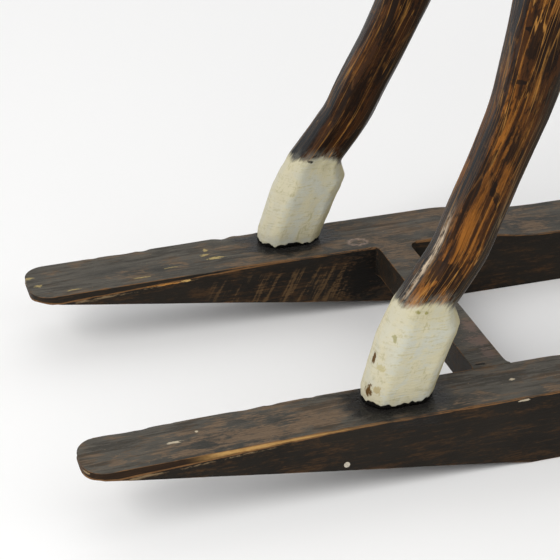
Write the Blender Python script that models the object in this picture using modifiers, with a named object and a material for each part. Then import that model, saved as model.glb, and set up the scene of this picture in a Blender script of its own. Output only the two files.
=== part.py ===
"""Carved wooden rocking horse, built together with its two rockers.

Metres, +Z up. The horse faces -X and its left side is -Y. The origin is on the
floor, under the middle of the rockers. Every piece is a solid of its own:
rockers, cross bars, four carved legs, body, neck with head, tail and one nail.
"""
import math

import bmesh
import bpy
from mathutils import Matrix, Vector

# Clearance between pieces that touch
FIT = 0.0003

# Rockers, two hand-sawn planks on edge that differ a little
OVERALL_WIDTH = 0.3218
ROCKER_LENGTH = {"left": 1.202, "right": 1.182}
ROCKER_THICKNESS = {"left": 0.0511, "right": 0.0604}
ROCKER_HEIGHT = 0.0612
ROCKER_TIP_TOP = 0.0582
ROCKER_WAIST_HEIGHT = 0.0505
RAMP_LENGTH = 0.345
RAMP_RISE = 0.0535
TIP_EDGE = 0.0065
TIP_RADIUS = 0.018
ARRIS = 0.0012
TIP_CHAMFER = 0.0075
TIP_CHAMFER_LENGTH = 0.21
# At the tip's thin end the chamfer takes no more than this share of its height
TIP_CHAMFER_SHARE = 0.8
TIP_SETTLED = 0.05
TIP_ANGLES = (0, 20, 40, 60, 80, 90)
LEVEL_START = 0.18
DIP_START = 0.37
DIP_LENGTH = 0.10
DIP_STEPS = 6

# Cross bars, flush with the rockers' tops
BAR_X = 0.2722
BAR_WIDTH = 0.029
BAR_HEIGHT = 0.031
BAR_CHAMFER = 0.004

# Nail in the outer side of the left rocker
NAIL_X = -0.4068
NAIL_Z = 0.0293
NAIL_HEAD_RADIUS = 0.0024
NAIL_HEAD_DEPTH = 0.0012
NAIL_SHANK_RADIUS = 0.0011
NAIL_LENGTH = 0.022
NAIL_RECESS = 0.0001
NAIL_HOLE_REACH = 0.004
NAIL_SEGMENTS = 16

# Legs, carved from planks that stand on the rockers and lie against the body
LEG_LENGTH = 0.56
HOOF_X = 0.357
HOOF_INSET = {
    "leg_front_left": 0.0324,
    "leg_front_right": 0.0202,
    "leg_rear_left": 0.0256,
    "leg_rear_right": 0.0302,
}
LEG_LAP = 0.166
# The hand-carved hoof of one front leg is a little taller than the others
FETLOCK_HEIGHT = 190
HOOF_STRETCH = {
    "leg_front_left": 1.01,
    "leg_front_right": 1.07,
    "leg_rear_left": 1.0,
    "leg_rear_right": 1.0,
}

# Each edge of a leg in thousandths of its length: height above the sole, then
# distance behind the middle of the hoof
FRONT_LEG_FORE_EDGE = (
    (0, -49), (18, -49), (89, -27), (134, -5), (150, 8), (179, 30), (209, 51), (250, 67),
    (321, 99), (393, 127), (482, 145), (600, 162), (714, 172), (857, 176), (955, 196), (1000, 236),
)
FRONT_LEG_REAR_EDGE = (
    (0, 50), (18, 56), (100, 88), (126, 79), (163, 106), (190, 124), (250, 149), (321, 180),
    (393, 210), (482, 237), (600, 285), (714, 343), (857, 402), (955, 388), (1000, 345),
)
REAR_LEG_FORE_EDGE = (
    (0, -50), (18, -50), (134, -34), (150, -28), (184, -34), (250, -48), (321, -71), (393, -102),
    (446, -132), (500, -170), (571, -226), (714, -356), (857, -424), (955, -404), (1000, -350),
)
REAR_LEG_REAR_EDGE = (
    (0, 50), (18, 52), (100, 62), (126, 50), (161, 54), (190, 60), (250, 39), (321, 20),
    (393, 9), (446, 5), (500, -30), (571, -62), (714, -98), (857, -114), (955, -148), (1000, -196),
)
# Thickness across the leg, in thousandths of its length
LEG_THICKNESS = (
    (0, 64), (89, 71), (130, 67), (190, 68), (321, 68), (482, 78), (714, 89), (857, 89),
    (955, 70), (1000, 42),
)
# Shares of a leg's thickness and breadth that its four main faces keep flat
LEG_FLAT_FORE = 0.36
LEG_FLAT_SIDE = 0.62

# Body
BODY_LENGTH = 0.67
BODY_DEPTH = 0.270
BODY_WIDTH = 0.196
CHEEK = 0.082
# Shares of the body's length, depth and width: place, underside, top, width
BODY_STATIONS = (
    (-0.500, 0.42, 0.62, 0.40), (-0.478, 0.26, 0.74, 0.62), (-0.430, 0.11, 0.88, 0.80),
    (-0.360, 0.03, 0.96, 0.90), (-0.270, 0.00, 1.00, 0.93), (-0.180, 0.01, 0.99, 0.88),
    (-0.090, 0.03, 0.93, 0.95), (0.000, 0.04, 0.90, 1.00), (0.090, 0.04, 0.90, 0.97),
    (0.180, 0.04, 0.94, 0.90), (0.270, 0.05, 0.99, 0.92), (0.360, 0.09, 1.00, 0.90),
    (0.430, 0.18, 0.95, 0.78), (0.478, 0.32, 0.86, 0.58), (0.500, 0.46, 0.76, 0.38),
)
CHEEK_ZONE = 0.18
BODY_SIDES = 20
BODY_SQUARENESS = 0.76

# Neck and head
NECK_SEAT_FRONT = 0.44
NECK_SEAT_BACK = 0.99
NECK_SEAT_LENGTH = 0.33
NECK_LENGTH = 0.36
NECK_SIDES = 16
NECK_SQUARENESS = 0.9
# Shares of the neck's length: along, bend forward, half depth, half width
NECK_STATIONS = (
    (-0.20, 0.00, 0.405, 0.226), (0.00, 0.00, 0.375, 0.222), (0.16, -0.015, 0.330, 0.200),
    (0.36, -0.01, 0.270, 0.170), (0.58, 0.02, 0.218, 0.142), (0.78, 0.065, 0.182, 0.120),
    (0.93, 0.11, 0.158, 0.100), (1.03, 0.145, 0.110, 0.074), (1.07, 0.16, 0.060, 0.046),
)
HEAD_LENGTH = 0.24
HEAD_PITCH = math.radians(55)
HEAD_SIDES = 16
# The poll lies behind and above the end of the neck's middle line
POLL_OFFSET = (0.02, 0, 0.02)
# Shares of the head's length: along, crown line, jaw line, half width
HEAD_STATIONS = (
    (-0.04, 0.03, -0.24, 0.080), (0.06, 0.075, -0.38, 0.135), (0.20, 0.090, -0.43, 0.170),
    (0.34, 0.078, -0.41, 0.165), (0.48, 0.048, -0.32, 0.135), (0.62, 0.024, -0.245, 0.110),
    (0.76, 0.008, -0.225, 0.102), (0.88, 0.000, -0.235, 0.108), (0.96, -0.020, -0.210, 0.090),
    (1.00, -0.065, -0.155, 0.045),
)
# Places on the head in shares of its length: along, above the poll, out to the side
EAR_PLACE = (0.05, 0.165, 0.118)
EYE_PLACE = (0.30, -0.04, 0.138)
NOSTRIL_PLACE = (0.90, -0.055, 0.098)
MOUTH_CORNER = (0.80, -0.148)
MOUTH_FRONT = (1.10, -0.150)
EAR_HEIGHT = 0.062
EAR_RADIUS = 0.018
EAR_TIP_SHARE = 0.12
EAR_FLATNESS = 0.75
EAR_LEAN_OUT = math.radians(14)
EAR_LEAN_FORWARD = math.radians(8)
EAR_SIDES = 10
EYE_RADIUS = 0.0115
NOSTRIL_RADIUS = 0.006
MOUTH_GAP = 0.004
MOUTH_CORNER_GAP = 0.0012
MOUTH_CUT_WIDTH = 0.12
MANE_HEIGHT = 0.022
MANE_HALF_WIDTH = 0.020
MANE_LOCKS = 7
MANE_STEPS = 28
MANE_SIDES = 8
MANE_SQUARENESS = 0.8
# Stations of the neck between which the mane runs
MANE_START = 0.9
MANE_END = 6.8
# Shares by which the mane narrows between its locks and at its two ends
LOCK_NOTCH = 0.22
MANE_TAPER = 0.45
MANE_TAPER_STEPS = 3

# Tail, its root against the flat of the rump
TAIL_LENGTH = 0.40
TAIL_SIDES = 12
TAIL_LOCK_DEPTH = 0.13
# Shares of the tail's length: behind the rump, above the root, radius
TAIL_STATIONS = (
    (0.00, 0.00, 0.050), (0.06, 0.025, 0.058), (0.13, 0.020, 0.072), (0.20, -0.05, 0.086),
    (0.245, -0.17, 0.096), (0.265, -0.32, 0.098), (0.275, -0.47, 0.088), (0.295, -0.60, 0.062),
    (0.325, -0.70, 0.026),
)

# Heights and places that follow from the sizes above
SOLE_Z = ROCKER_HEIGHT + FIT
LEG_TOP_Z = SOLE_Z + LEG_LENGTH
BELLY_Z = LEG_TOP_Z - LEG_LAP
SIDES = {"left": -1, "right": 1}


def clear_scene():
    """Removes every object, so that the model starts from an empty scene."""
    for obj in list(bpy.data.objects):
        bpy.data.objects.remove(obj, do_unlink=True)


def make_collection(name):
    """A collection in the scene for one group of objects."""
    collection = bpy.data.collections.new(name)
    bpy.context.scene.collection.children.link(collection)
    return collection


def make_material(name, colour, roughness, metallic=0.0):
    """A Principled material with one colour, roughness and metallic value."""
    material = bpy.data.materials.new(name)
    material.use_nodes = True
    shader = material.node_tree.nodes["Principled BSDF"]
    shader.inputs["Base Color"].default_value = (*colour, 1.0)
    shader.inputs["Roughness"].default_value = roughness
    shader.inputs["Metallic"].default_value = metallic
    material.diffuse_color = (*colour, 1.0)
    return material


def add_object(name, mesh, collection, material):
    """Links a mesh as a named object with one material."""
    obj = bpy.data.objects.new(name, mesh)
    if material is not None:
        mesh.materials.append(material)
    collection.objects.link(obj)
    return obj


def loft(name, rings, collection, material):
    """A closed solid of triangles through rings of equally many points, with flat ends."""
    bm = bmesh.new()
    rows = [[bm.verts.new(point) for point in ring] for ring in rings]
    count = len(rows[0])
    for lower, upper in zip(rows, rows[1:]):
        for i in range(count):
            j = (i + 1) % count
            bm.faces.new((lower[i], lower[j], upper[j], upper[i]))
    bm.faces.new(list(reversed(rows[0])))
    bm.faces.new(rows[-1])
    bmesh.ops.recalc_face_normals(bm, faces=bm.faces)
    bmesh.ops.triangulate(bm, faces=bm.faces)
    mesh = bpy.data.meshes.new(name)
    bm.to_mesh(mesh)
    bm.free()
    return add_object(name, mesh, collection, material)


def as_cutter(obj):
    """Marks an object as a cutter, which isn't part of the model."""
    obj.hide_render = True
    obj.display_type = "WIRE"
    return obj


def boolean(target, other, operation):
    """Adds a Boolean modifier that cuts or joins another object."""
    modifier = target.modifiers.new(operation.title() + " " + other.name, "BOOLEAN")
    modifier.operation = operation
    modifier.object = other
    modifier.solver = "EXACT"
    return modifier


def between(value, table):
    """Reads a table of (place, value) pairs with straight runs between them."""
    for (low, start), (high, end) in zip(table, table[1:]):
        if value <= high:
            share = (value - low) / (high - low)
            return start + (end - start) * share
    return table[-1][1]


def ease(share):
    """Runs smoothly from 0 to 1."""
    share = min(max(share, 0.0), 1.0)
    return 0.5 - 0.5 * math.cos(math.pi * share)


def superellipse(count, squareness):
    """Points of a rounded outline of unit half sizes; 1 is round, less is squarer."""
    points = []
    for i in range(count):
        angle = 2 * math.pi * (i + 0.5) / count
        across, along = math.cos(angle), math.sin(angle)
        points.append((
            math.copysign(abs(across) ** squareness, across),
            math.copysign(abs(along) ** squareness, along),
        ))
    return points


def rocker_top(place):
    """Height of a rocker's top at a distance from its nearer tip."""
    rise = min(place / LEVEL_START, 1.0)
    height = ROCKER_TIP_TOP + (ROCKER_HEIGHT - ROCKER_TIP_TOP) * rise
    dip = ease((place - DIP_START) / DIP_LENGTH)
    return height - (ROCKER_HEIGHT - ROCKER_WAIST_HEIGHT) * dip


def rocker_underside(place):
    """Height of a rocker's underside: a straight ramp, then flat on the floor."""
    ramp = max(RAMP_RISE * (1 - place / RAMP_LENGTH), 0.0)
    return min(ramp, rocker_top(place) - TIP_EDGE)


def rocker_half_thickness(place, thickness):
    """Half of a rocker's thickness, less where the tip is rounded in plan."""
    inside = min(place, TIP_RADIUS)
    return thickness / 2 - TIP_RADIUS + math.sqrt(TIP_RADIUS ** 2 - (TIP_RADIUS - inside) ** 2)


def rocker_section(x, place, middle, thickness):
    """The corners of a rocker at one place, with its chamfered top arrises."""
    half = rocker_half_thickness(place, thickness)
    top = rocker_top(place)
    underside = rocker_underside(place)
    chamfer = ARRIS + (TIP_CHAMFER - ARRIS) * max(1 - place / TIP_CHAMFER_LENGTH, 0.0)
    chamfer = min(chamfer, TIP_CHAMFER_SHARE * (top - underside))
    corners = (
        (-half, underside), (half, underside), (half, top - chamfer), (half - ARRIS, top),
        (-half + ARRIS, top), (-half, top - chamfer),
    )
    return [(x, middle + y, z) for y, z in corners]


def make_rocker(side, collection, wood):
    """One rocker as a loft of sections from its front tip to its rear tip."""
    length = ROCKER_LENGTH[side]
    thickness = ROCKER_THICKNESS[side]
    middle = SIDES[side] * (OVERALL_WIDTH - thickness) / 2
    tip = [TIP_RADIUS * (1 - math.cos(math.radians(angle))) for angle in TIP_ANGLES]
    dip = [DIP_START + DIP_LENGTH * step / DIP_STEPS for step in range(DIP_STEPS + 1)]
    places = tip + [TIP_SETTLED, LEVEL_START, TIP_CHAMFER_LENGTH, RAMP_LENGTH] + dip
    front = [(place - length / 2, place) for place in sorted(places)]
    rear = [(-x, place) for x, place in reversed(front)]
    rings = [rocker_section(x, place, middle, thickness) for x, place in front + rear]
    return loft("rocker_" + side, rings, collection, wood)


def inner_face(side):
    """Distance of a rocker's inner face from the middle plane."""
    return OVERALL_WIDTH / 2 - ROCKER_THICKNESS[side]


def make_crossbar(name, x, collection, wood):
    """A square bar between the rockers, its lower arrises chamfered."""
    half = BAR_WIDTH / 2
    low = ROCKER_HEIGHT - BAR_HEIGHT
    outline = (
        (-half + BAR_CHAMFER, low), (half - BAR_CHAMFER, low), (half, low + BAR_CHAMFER),
        (half, ROCKER_HEIGHT), (-half, ROCKER_HEIGHT), (-half, low + BAR_CHAMFER),
    )
    ends = (-inner_face("left") + FIT, inner_face("right") - FIT)
    rings = [[(x + along, y, z) for along, z in outline] for y in ends]
    return loft(name, rings, collection, wood)


def turned_nail(name, clearance, depth, collection, material):
    """A nail with a flat head, turned about its axis and driven in along +Y."""
    head = NAIL_HEAD_RADIUS + clearance
    shank = NAIL_SHANK_RADIUS + clearance
    shoulder = -NAIL_HEAD_DEPTH - clearance
    profile = (
        (0.0, depth), (head, depth), (head, shoulder), (shank, shoulder),
        (shank, -NAIL_LENGTH - clearance), (0.0, -NAIL_LENGTH - clearance),
    )
    mesh = bpy.data.meshes.new(name)
    points = [(radius, 0.0, height) for radius, height in profile]
    mesh.from_pydata(points, [(i, i + 1) for i in range(len(points) - 1)], [])
    obj = add_object(name, mesh, collection, material)
    screw = obj.modifiers.new("Turn", "SCREW")
    screw.steps = NAIL_SEGMENTS
    screw.render_steps = NAIL_SEGMENTS
    screw.use_merge_vertices = True
    screw.merge_threshold = 0.00001
    obj.location = (NAIL_X, -OVERALL_WIDTH / 2 + NAIL_RECESS, NAIL_Z)
    obj.rotation_euler = (math.radians(90), 0, 0)
    return obj


def leg_heights(*tables):
    """Every height that a leg's edges name, in order."""
    return sorted({height for table in tables for height, _ in table})


def leg_centre(name, height, half_thickness):
    """Distance of a leg's middle from the middle plane: it leans in, then lies on the cheek."""
    foot = OVERALL_WIDTH / 2 - HOOF_INSET[name]
    lap_start = 1000 * (1 - LEG_LAP / LEG_LENGTH)
    return foot + (CHEEK + FIT + half_thickness - foot) * min(height / lap_start, 1.0)


def hoof_stretch(name, height):
    """A height on the leg as carved, where the hoof is taller or lower than the pattern."""
    fetlock = FETLOCK_HEIGHT * HOOF_STRETCH[name]
    settled = 2 * FETLOCK_HEIGHT
    return between(height, ((0, 0), (FETLOCK_HEIGHT, fetlock), (settled, settled), (1000, 1000)))


def leg_section(fore, rear, centre, half_thickness, side, z):
    """The eight corners of a leg, flat where it lies against the body."""
    middle, half = (fore + rear) / 2, (rear - fore) / 2
    flat = half * LEG_FLAT_SIDE
    edge = half_thickness * LEG_FLAT_FORE
    corners = (
        (-half, -edge), (-flat, -half_thickness), (flat, -half_thickness), (half, -edge),
        (half, edge), (flat, half_thickness), (-flat, half_thickness), (-half, edge),
    )
    ring = []
    for along, across in corners:
        outward = max(centre + across, CHEEK + FIT)
        ring.append((middle + along, SIDES[side] * outward, z))
    return ring


def make_leg(name, side, hoof_x, fore_edge, rear_edge, collection, wood):
    """A leg and its hoof as a loft of level sections from the sole upwards."""
    scale = LEG_LENGTH / 1000
    rings = []
    for height in leg_heights(fore_edge, rear_edge, LEG_THICKNESS):
        half_thickness = between(height, LEG_THICKNESS) * scale / 2
        carved_height = hoof_stretch(name, height)
        rings.append(leg_section(
            hoof_x + between(height, fore_edge) * scale,
            hoof_x + between(height, rear_edge) * scale,
            leg_centre(name, carved_height, half_thickness),
            half_thickness,
            side,
            SOLE_Z + carved_height * scale,
        ))
    return loft(name, rings, collection, wood)


def make_body(collection, wood):
    """The barrel, chest and rump, with flat cheeks where the legs lie against it."""
    outline = superellipse(BODY_SIDES, BODY_SQUARENESS)
    rings = []
    for place, low, high, width in BODY_STATIONS:
        half_depth = (high - low) * BODY_DEPTH / 2
        middle = BELLY_Z + (high + low) * BODY_DEPTH / 2
        limit = CHEEK if abs(place) >= CHEEK_ZONE else BODY_WIDTH / 2
        ring = []
        for across, along in outline:
            y = across * width * BODY_WIDTH / 2
            y = math.copysign(min(abs(y), limit), y)
            ring.append((place * BODY_LENGTH, y, middle + along * half_depth))
        rings.append(ring)
    return loft("body", rings, collection, wood)


def neck_seat():
    """The sloping plane on which the neck stands: its middle, its normal and its forward run."""
    front = Vector((-BODY_LENGTH / 2, 0, BELLY_Z + NECK_SEAT_FRONT * BODY_DEPTH))
    back_x = front.x + NECK_SEAT_LENGTH * BODY_LENGTH
    back = Vector((back_x, 0, BELLY_Z + NECK_SEAT_BACK * BODY_DEPTH))
    run = (front - back).normalized()
    normal = Vector((run.z, 0, -run.x))
    return (front + back) / 2, normal, run


def half_space(name, point, normal, size, cutters):
    """A large box that lies wholly on the side of a plane that its normal points to."""
    bm = bmesh.new()
    bmesh.ops.create_cube(bm, size=size)
    mesh = bpy.data.meshes.new(name)
    bm.to_mesh(mesh)
    bm.free()
    box = add_object(name, mesh, cutters, None)
    turn = normal.to_track_quat("Z", "Y").to_matrix().to_4x4()
    box.matrix_world = Matrix.Translation(point + normal * size / 2) @ turn
    return as_cutter(box)


def spine_rings(stations, outline):
    """Rings square to a path in the middle plane: (middle, direction, half depth, half width)."""
    rings = []
    for middle, direction, half_depth, half_width in stations:
        forward = Vector((direction.z, 0, -direction.x))
        rings.append([
            middle - forward * (along * half_depth) + Vector((0, across * half_width, 0))
            for across, along in outline
        ])
    return rings


def directions(points):
    """The direction of a path at each of its points."""
    result = []
    for i in range(len(points)):
        before, after = points[max(i - 1, 0)], points[min(i + 1, len(points) - 1)]
        result.append((after - before).normalized())
    return result


def neck_path():
    """Middle points of the neck from inside the body to the poll."""
    seat, normal, run = neck_seat()
    return [
        seat + (normal * along + run * bend) * NECK_LENGTH
        for along, bend, _, _ in NECK_STATIONS
    ]


def make_neck(collection, material):
    """The neck as a loft square to its path."""
    path = neck_path()
    stations = [
        (middle, direction, depth * NECK_LENGTH, width * NECK_LENGTH)
        for middle, direction, (_, _, depth, width) in zip(path, directions(path), NECK_STATIONS)
    ]
    rings = spine_rings(stations, superellipse(NECK_SIDES, NECK_SQUARENESS))
    return loft("neck_and_head", rings, collection, material)


def head_frame():
    """The head's poll, its direction to the muzzle and its upward direction."""
    poll = neck_path()[-1] + Vector(POLL_OFFSET)
    along = Vector((-math.cos(HEAD_PITCH), 0, -math.sin(HEAD_PITCH)))
    up = Vector((-math.sin(HEAD_PITCH), 0, math.cos(HEAD_PITCH)))
    return poll, along, up


def head_point(along_share, up_share, side=0.0):
    """A point on the head in shares of its length, from the poll."""
    poll, along, up = head_frame()
    return poll + (along * along_share + up * up_share + Vector((0, side, 0))) * HEAD_LENGTH


def on_head(place, side):
    """A named place of the head, on its left or right side."""
    along, up, out = place
    return head_point(along, up, side * out)


def make_head(cutters):
    """The head as a loft from behind the poll to the muzzle."""
    rings = []
    for place, crown, jaw, width in HEAD_STATIONS:
        middle, half = (crown + jaw) / 2, (crown - jaw) / 2
        rings.append([
            head_point(place, middle + along * half, across * width)
            for across, along in superellipse(HEAD_SIDES, NECK_SQUARENESS)
        ])
    return as_cutter(loft("head_form", rings, cutters, None))


def make_ear(name, side, cutters):
    """A pointed ear that leans a little forward and out."""
    bm = bmesh.new()
    bmesh.ops.create_cone(
        bm,
        cap_ends=True,
        segments=EAR_SIDES,
        radius1=EAR_RADIUS,
        radius2=EAR_RADIUS * EAR_TIP_SHARE,
        depth=EAR_HEIGHT,
    )
    mesh = bpy.data.meshes.new(name)
    bm.to_mesh(mesh)
    bm.free()
    ear = add_object(name, mesh, cutters, None)
    ear.location = on_head(EAR_PLACE, side)
    ear.rotation_euler = (-side * EAR_LEAN_OUT, -EAR_LEAN_FORWARD, 0)
    ear.scale = (EAR_FLATNESS, 1.0, 1.0)
    return as_cutter(ear)


def make_ball(name, centre, radius, cutters):
    """A small ball, used for eyes and nostrils."""
    bm = bmesh.new()
    bmesh.ops.create_uvsphere(bm, u_segments=12, v_segments=8, radius=radius)
    mesh = bpy.data.meshes.new(name)
    bm.to_mesh(mesh)
    bm.free()
    ball = add_object(name, mesh, cutters, None)
    ball.location = centre
    return as_cutter(ball)


def make_mouth(cutters):
    """A thin wedge that cuts the line of the mouth across the muzzle."""
    corner, front = head_point(*MOUTH_CORNER), head_point(*MOUTH_FRONT)
    down = -head_frame()[2]
    outline = (front, corner, corner + down * MOUTH_CORNER_GAP, front + down * MOUTH_GAP)
    rings = []
    for y in (-MOUTH_CUT_WIDTH / 2, MOUTH_CUT_WIDTH / 2):
        rings.append([point + Vector((0, y, 0)) for point in outline])
    return as_cutter(loft("mouth_cut", rings, cutters, None))


def make_mane(cutters):
    """A carved ridge of locks along the crest of the neck."""
    path = neck_path()
    ways = directions(path)
    rings = []
    for step in range(MANE_STEPS + 1):
        place = MANE_START + (MANE_END - MANE_START) * step / MANE_STEPS
        index = min(int(place), len(path) - 2)
        share = place - index
        middle = path[index].lerp(path[index + 1], share)
        way = ways[index].lerp(ways[index + 1], share).normalized()
        backward = Vector((way.z, 0, -way.x))
        low, high = NECK_STATIONS[index][2], NECK_STATIONS[index + 1][2]
        crest = middle + backward * ((low + (high - low) * share) * NECK_LENGTH)
        notch = 1 - abs(math.sin(math.pi * MANE_LOCKS * step / MANE_STEPS))
        end = 1 - ease(min(step, MANE_STEPS - step) / MANE_TAPER_STEPS)
        size = (1 - LOCK_NOTCH * notch) * (1 - MANE_TAPER * end)
        rings.append([
            crest + backward * (along * MANE_HEIGHT * size)
            + Vector((0, across * MANE_HALF_WIDTH * size, 0))
            for across, along in superellipse(MANE_SIDES, MANE_SQUARENESS)
        ])
    return as_cutter(loft("mane_form", rings, cutters, None))


def make_neck_and_head(collection, cutters, wood):
    """Neck, head, ears, mane and eyes joined as one carved piece."""
    piece = make_neck(collection, wood)
    boolean(piece, make_head(cutters), "UNION")
    boolean(piece, make_mane(cutters), "UNION")
    for name, side in SIDES.items():
        boolean(piece, make_ear("ear_" + name, side, cutters), "UNION")
        eye = make_ball("eye_" + name, on_head(EYE_PLACE, side), EYE_RADIUS, cutters)
        boolean(piece, eye, "UNION")
        place = on_head(NOSTRIL_PLACE, side)
        nostril = make_ball("nostril_" + name, place, NOSTRIL_RADIUS, cutters)
        boolean(piece, nostril, "DIFFERENCE")
    boolean(piece, make_mouth(cutters), "DIFFERENCE")
    return piece


def make_tail(collection, wood):
    """The tail as a loft of lobed sections, its root square to the rump."""
    low, high = BODY_STATIONS[-1][1:3]
    root = Vector((BODY_LENGTH / 2 + FIT, 0, BELLY_Z + (low + high) * BODY_DEPTH / 2))
    path = [root + Vector((back, 0, up)) * TAIL_LENGTH for back, up, _ in TAIL_STATIONS]
    ways = directions(path)
    ways[0] = Vector((1, 0, 0))
    rings = []
    for middle, way, (_, _, radius) in zip(path, ways, TAIL_STATIONS):
        outward = Vector((-way.z, 0, way.x))
        ring = []
        for i in range(TAIL_SIDES):
            angle = 2 * math.pi * i / TAIL_SIDES
            reach = radius * TAIL_LENGTH * (1 - TAIL_LOCK_DEPTH * (i % 2))
            sideways = Vector((0, math.sin(angle) * reach, 0))
            ring.append(middle + outward * (math.cos(angle) * reach) + sideways)
        rings.append(ring)
    return loft("tail", rings, collection, wood)


def main():
    """Builds every piece of the rocking horse."""
    clear_scene()
    parts = make_collection("rocking_horse")
    cutters = make_collection("cutters")
    dark_wood = make_material("carved_wood", (0.055, 0.026, 0.012), 0.38)
    rocker_wood = make_material("rocker_wood", (0.060, 0.050, 0.042), 0.45)
    iron = make_material("pale_nail", (0.55, 0.50, 0.42), 0.5)

    for side in SIDES:
        rocker = make_rocker(side, parts, rocker_wood)
        if side == "left":
            hole = turned_nail("nail_hole", FIT, NAIL_HOLE_REACH, cutters, None)
            boolean(rocker, as_cutter(hole), "DIFFERENCE")
    turned_nail("nail_rocker_left", 0.0, 0.0, parts, iron)
    make_crossbar("crossbar_front", -BAR_X, parts, rocker_wood)
    make_crossbar("crossbar_rear", BAR_X, parts, rocker_wood)

    front_edges = (FRONT_LEG_FORE_EDGE, FRONT_LEG_REAR_EDGE)
    rear_edges = (REAR_LEG_FORE_EDGE, REAR_LEG_REAR_EDGE)
    for side in SIDES:
        make_leg("leg_front_" + side, side, -HOOF_X, *front_edges, parts, dark_wood)
        make_leg("leg_rear_" + side, side, HOOF_X, *rear_edges, parts, dark_wood)

    body = make_body(parts, dark_wood)
    piece = make_neck_and_head(parts, cutters, dark_wood)
    seat, normal, _ = neck_seat()
    room = BODY_LENGTH + NECK_LENGTH
    boolean(body, half_space("neck_side", seat, normal, room, cutters), "DIFFERENCE")
    below = half_space("body_side", seat + normal * FIT, -normal, room, cutters)
    boolean(piece, below, "DIFFERENCE")
    make_tail(parts, dark_wood)


main()
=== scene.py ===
"""Looks of a carved wooden rocking horse with painted hooves, on wedge-ended rockers.

Metres, +Z up; the horse faces -X and its left side is -Y. Every piece but the nail is a
surface worked out on a grid; the legs, body, neck and head are carved with chisel facets,
and every piece is given a worn finish.
"""

import itertools
import math

import bpy
import numpy as np
from mathutils import Matrix


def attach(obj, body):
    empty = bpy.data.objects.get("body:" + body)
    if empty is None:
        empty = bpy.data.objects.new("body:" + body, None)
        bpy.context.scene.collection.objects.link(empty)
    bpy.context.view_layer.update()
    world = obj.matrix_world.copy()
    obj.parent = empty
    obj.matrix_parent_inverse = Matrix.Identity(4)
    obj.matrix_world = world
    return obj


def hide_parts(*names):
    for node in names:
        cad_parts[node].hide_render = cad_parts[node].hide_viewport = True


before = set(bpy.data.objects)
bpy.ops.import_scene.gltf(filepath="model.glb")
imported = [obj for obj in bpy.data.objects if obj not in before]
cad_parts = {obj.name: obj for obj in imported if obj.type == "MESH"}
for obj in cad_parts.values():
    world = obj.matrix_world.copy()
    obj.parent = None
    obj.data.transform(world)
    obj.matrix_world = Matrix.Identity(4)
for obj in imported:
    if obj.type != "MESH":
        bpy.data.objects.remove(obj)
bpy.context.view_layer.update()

FIT = 0.0003
SIDES = {"left": -1, "right": 1}

# Rockers
OVERALL_WIDTH = 0.3218
ROCKER_LENGTH = {"left": 1.202, "right": 1.182}
ROCKER_THICKNESS = {"left": 0.0511, "right": 0.0604}
ROCKER_HEIGHT = 0.0612
ROCKER_TIP_TOP = 0.0582
ROCKER_WAIST_HEIGHT = 0.0505
RAMP_LENGTH = 0.345
RAMP_RISE = 0.0535
TIP_EDGE = 0.0065
TIP_RADIUS = 0.018
ARRIS = 0.0012
TIP_CHAMFER = 0.0075
TIP_CHAMFER_LENGTH = 0.21
TIP_CHAMFER_SHARE = 0.8
LEVEL_START = 0.18
DIP_START = 0.37
DIP_LENGTH = 0.1

# Cross bars
BAR_X = 0.2722
BAR_WIDTH = 0.029
BAR_HEIGHT = 0.031
BAR_CHAMFER = 0.004
BAR_HOUSING = 0.0015
BAR_FLARE = 0.009

# Dents in the rockers in millimetres: place, reach along each axis and depth
CHIPS = (
    ((-590, 101, 52.5), (6, 6, 3), 3),
    ((-412, 161, 60.5), (5, 4, 3), 2.2),
    ((-500, 161, 60), (10, 3, 3), 1),
    ((-560, -110, 58.5), (12, 3, 3), 1.2),
    ((-470, -110, 60), (9, 3, 3), 0.9),
    ((-592, -161, 50), (5, 4, 3), 1.4),
)

# Legs: edges in thousandths of the leg's length, as height and distance behind the hoof
LEG_LENGTH = 0.56
HOOF_X = 0.357
HOOF_INSET = {
    "leg_front_left": 0.0324,
    "leg_front_right": 0.0202,
    "leg_rear_left": 0.0256,
    "leg_rear_right": 0.0302,
}
LEG_LAP = 0.166
FETLOCK_HEIGHT = 190
HOOF_STRETCH = {
    "leg_front_left": 1.01,
    "leg_front_right": 1.07,
    "leg_rear_left": 1.0,
    "leg_rear_right": 1.0,
}
FRONT_LEG_FORE_EDGE = (
    (0, -49), (18, -49), (89, -27), (134, -5), (150, 8), (179, 30), (209, 51), (250, 67),
    (321, 99), (393, 127), (482, 145), (600, 162), (714, 172), (857, 176), (955, 196), (1000, 236),
)
FRONT_LEG_REAR_EDGE = (
    (0, 50), (18, 56), (100, 88), (126, 79), (163, 106), (190, 124), (250, 149), (321, 180),
    (393, 210), (482, 237), (600, 285), (714, 343), (857, 402), (955, 388), (1000, 345),
)
REAR_LEG_FORE_EDGE = (
    (0, -50), (18, -50), (134, -34), (150, -28), (184, -34), (250, -48), (321, -71), (393, -102),
    (446, -132), (500, -170), (571, -226), (714, -356), (857, -424), (955, -404), (1000, -350),
)
REAR_LEG_REAR_EDGE = (
    (0, 50), (18, 52), (100, 62), (126, 50), (161, 54), (190, 60), (250, 39), (321, 20),
    (393, 9), (446, 5), (500, -30), (571, -62), (714, -98), (857, -114), (955, -148), (1000, -196),
)
LEGS = (
    ("leg_front_", -HOOF_X, FRONT_LEG_FORE_EDGE, FRONT_LEG_REAR_EDGE, (380, 144)),
    ("leg_rear_", HOOF_X, REAR_LEG_FORE_EDGE, REAR_LEG_REAR_EDGE, (260, 96)),
)
LEG_THICKNESS = (
    (0, 64), (89, 71), (130, 67), (190, 68), (321, 68), (482, 78), (714, 89), (857, 89),
    (955, 70), (1000, 42),
)
LEG_FLAT_FORE = 0.36
LEG_FLAT_SIDE = 0.62

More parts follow.
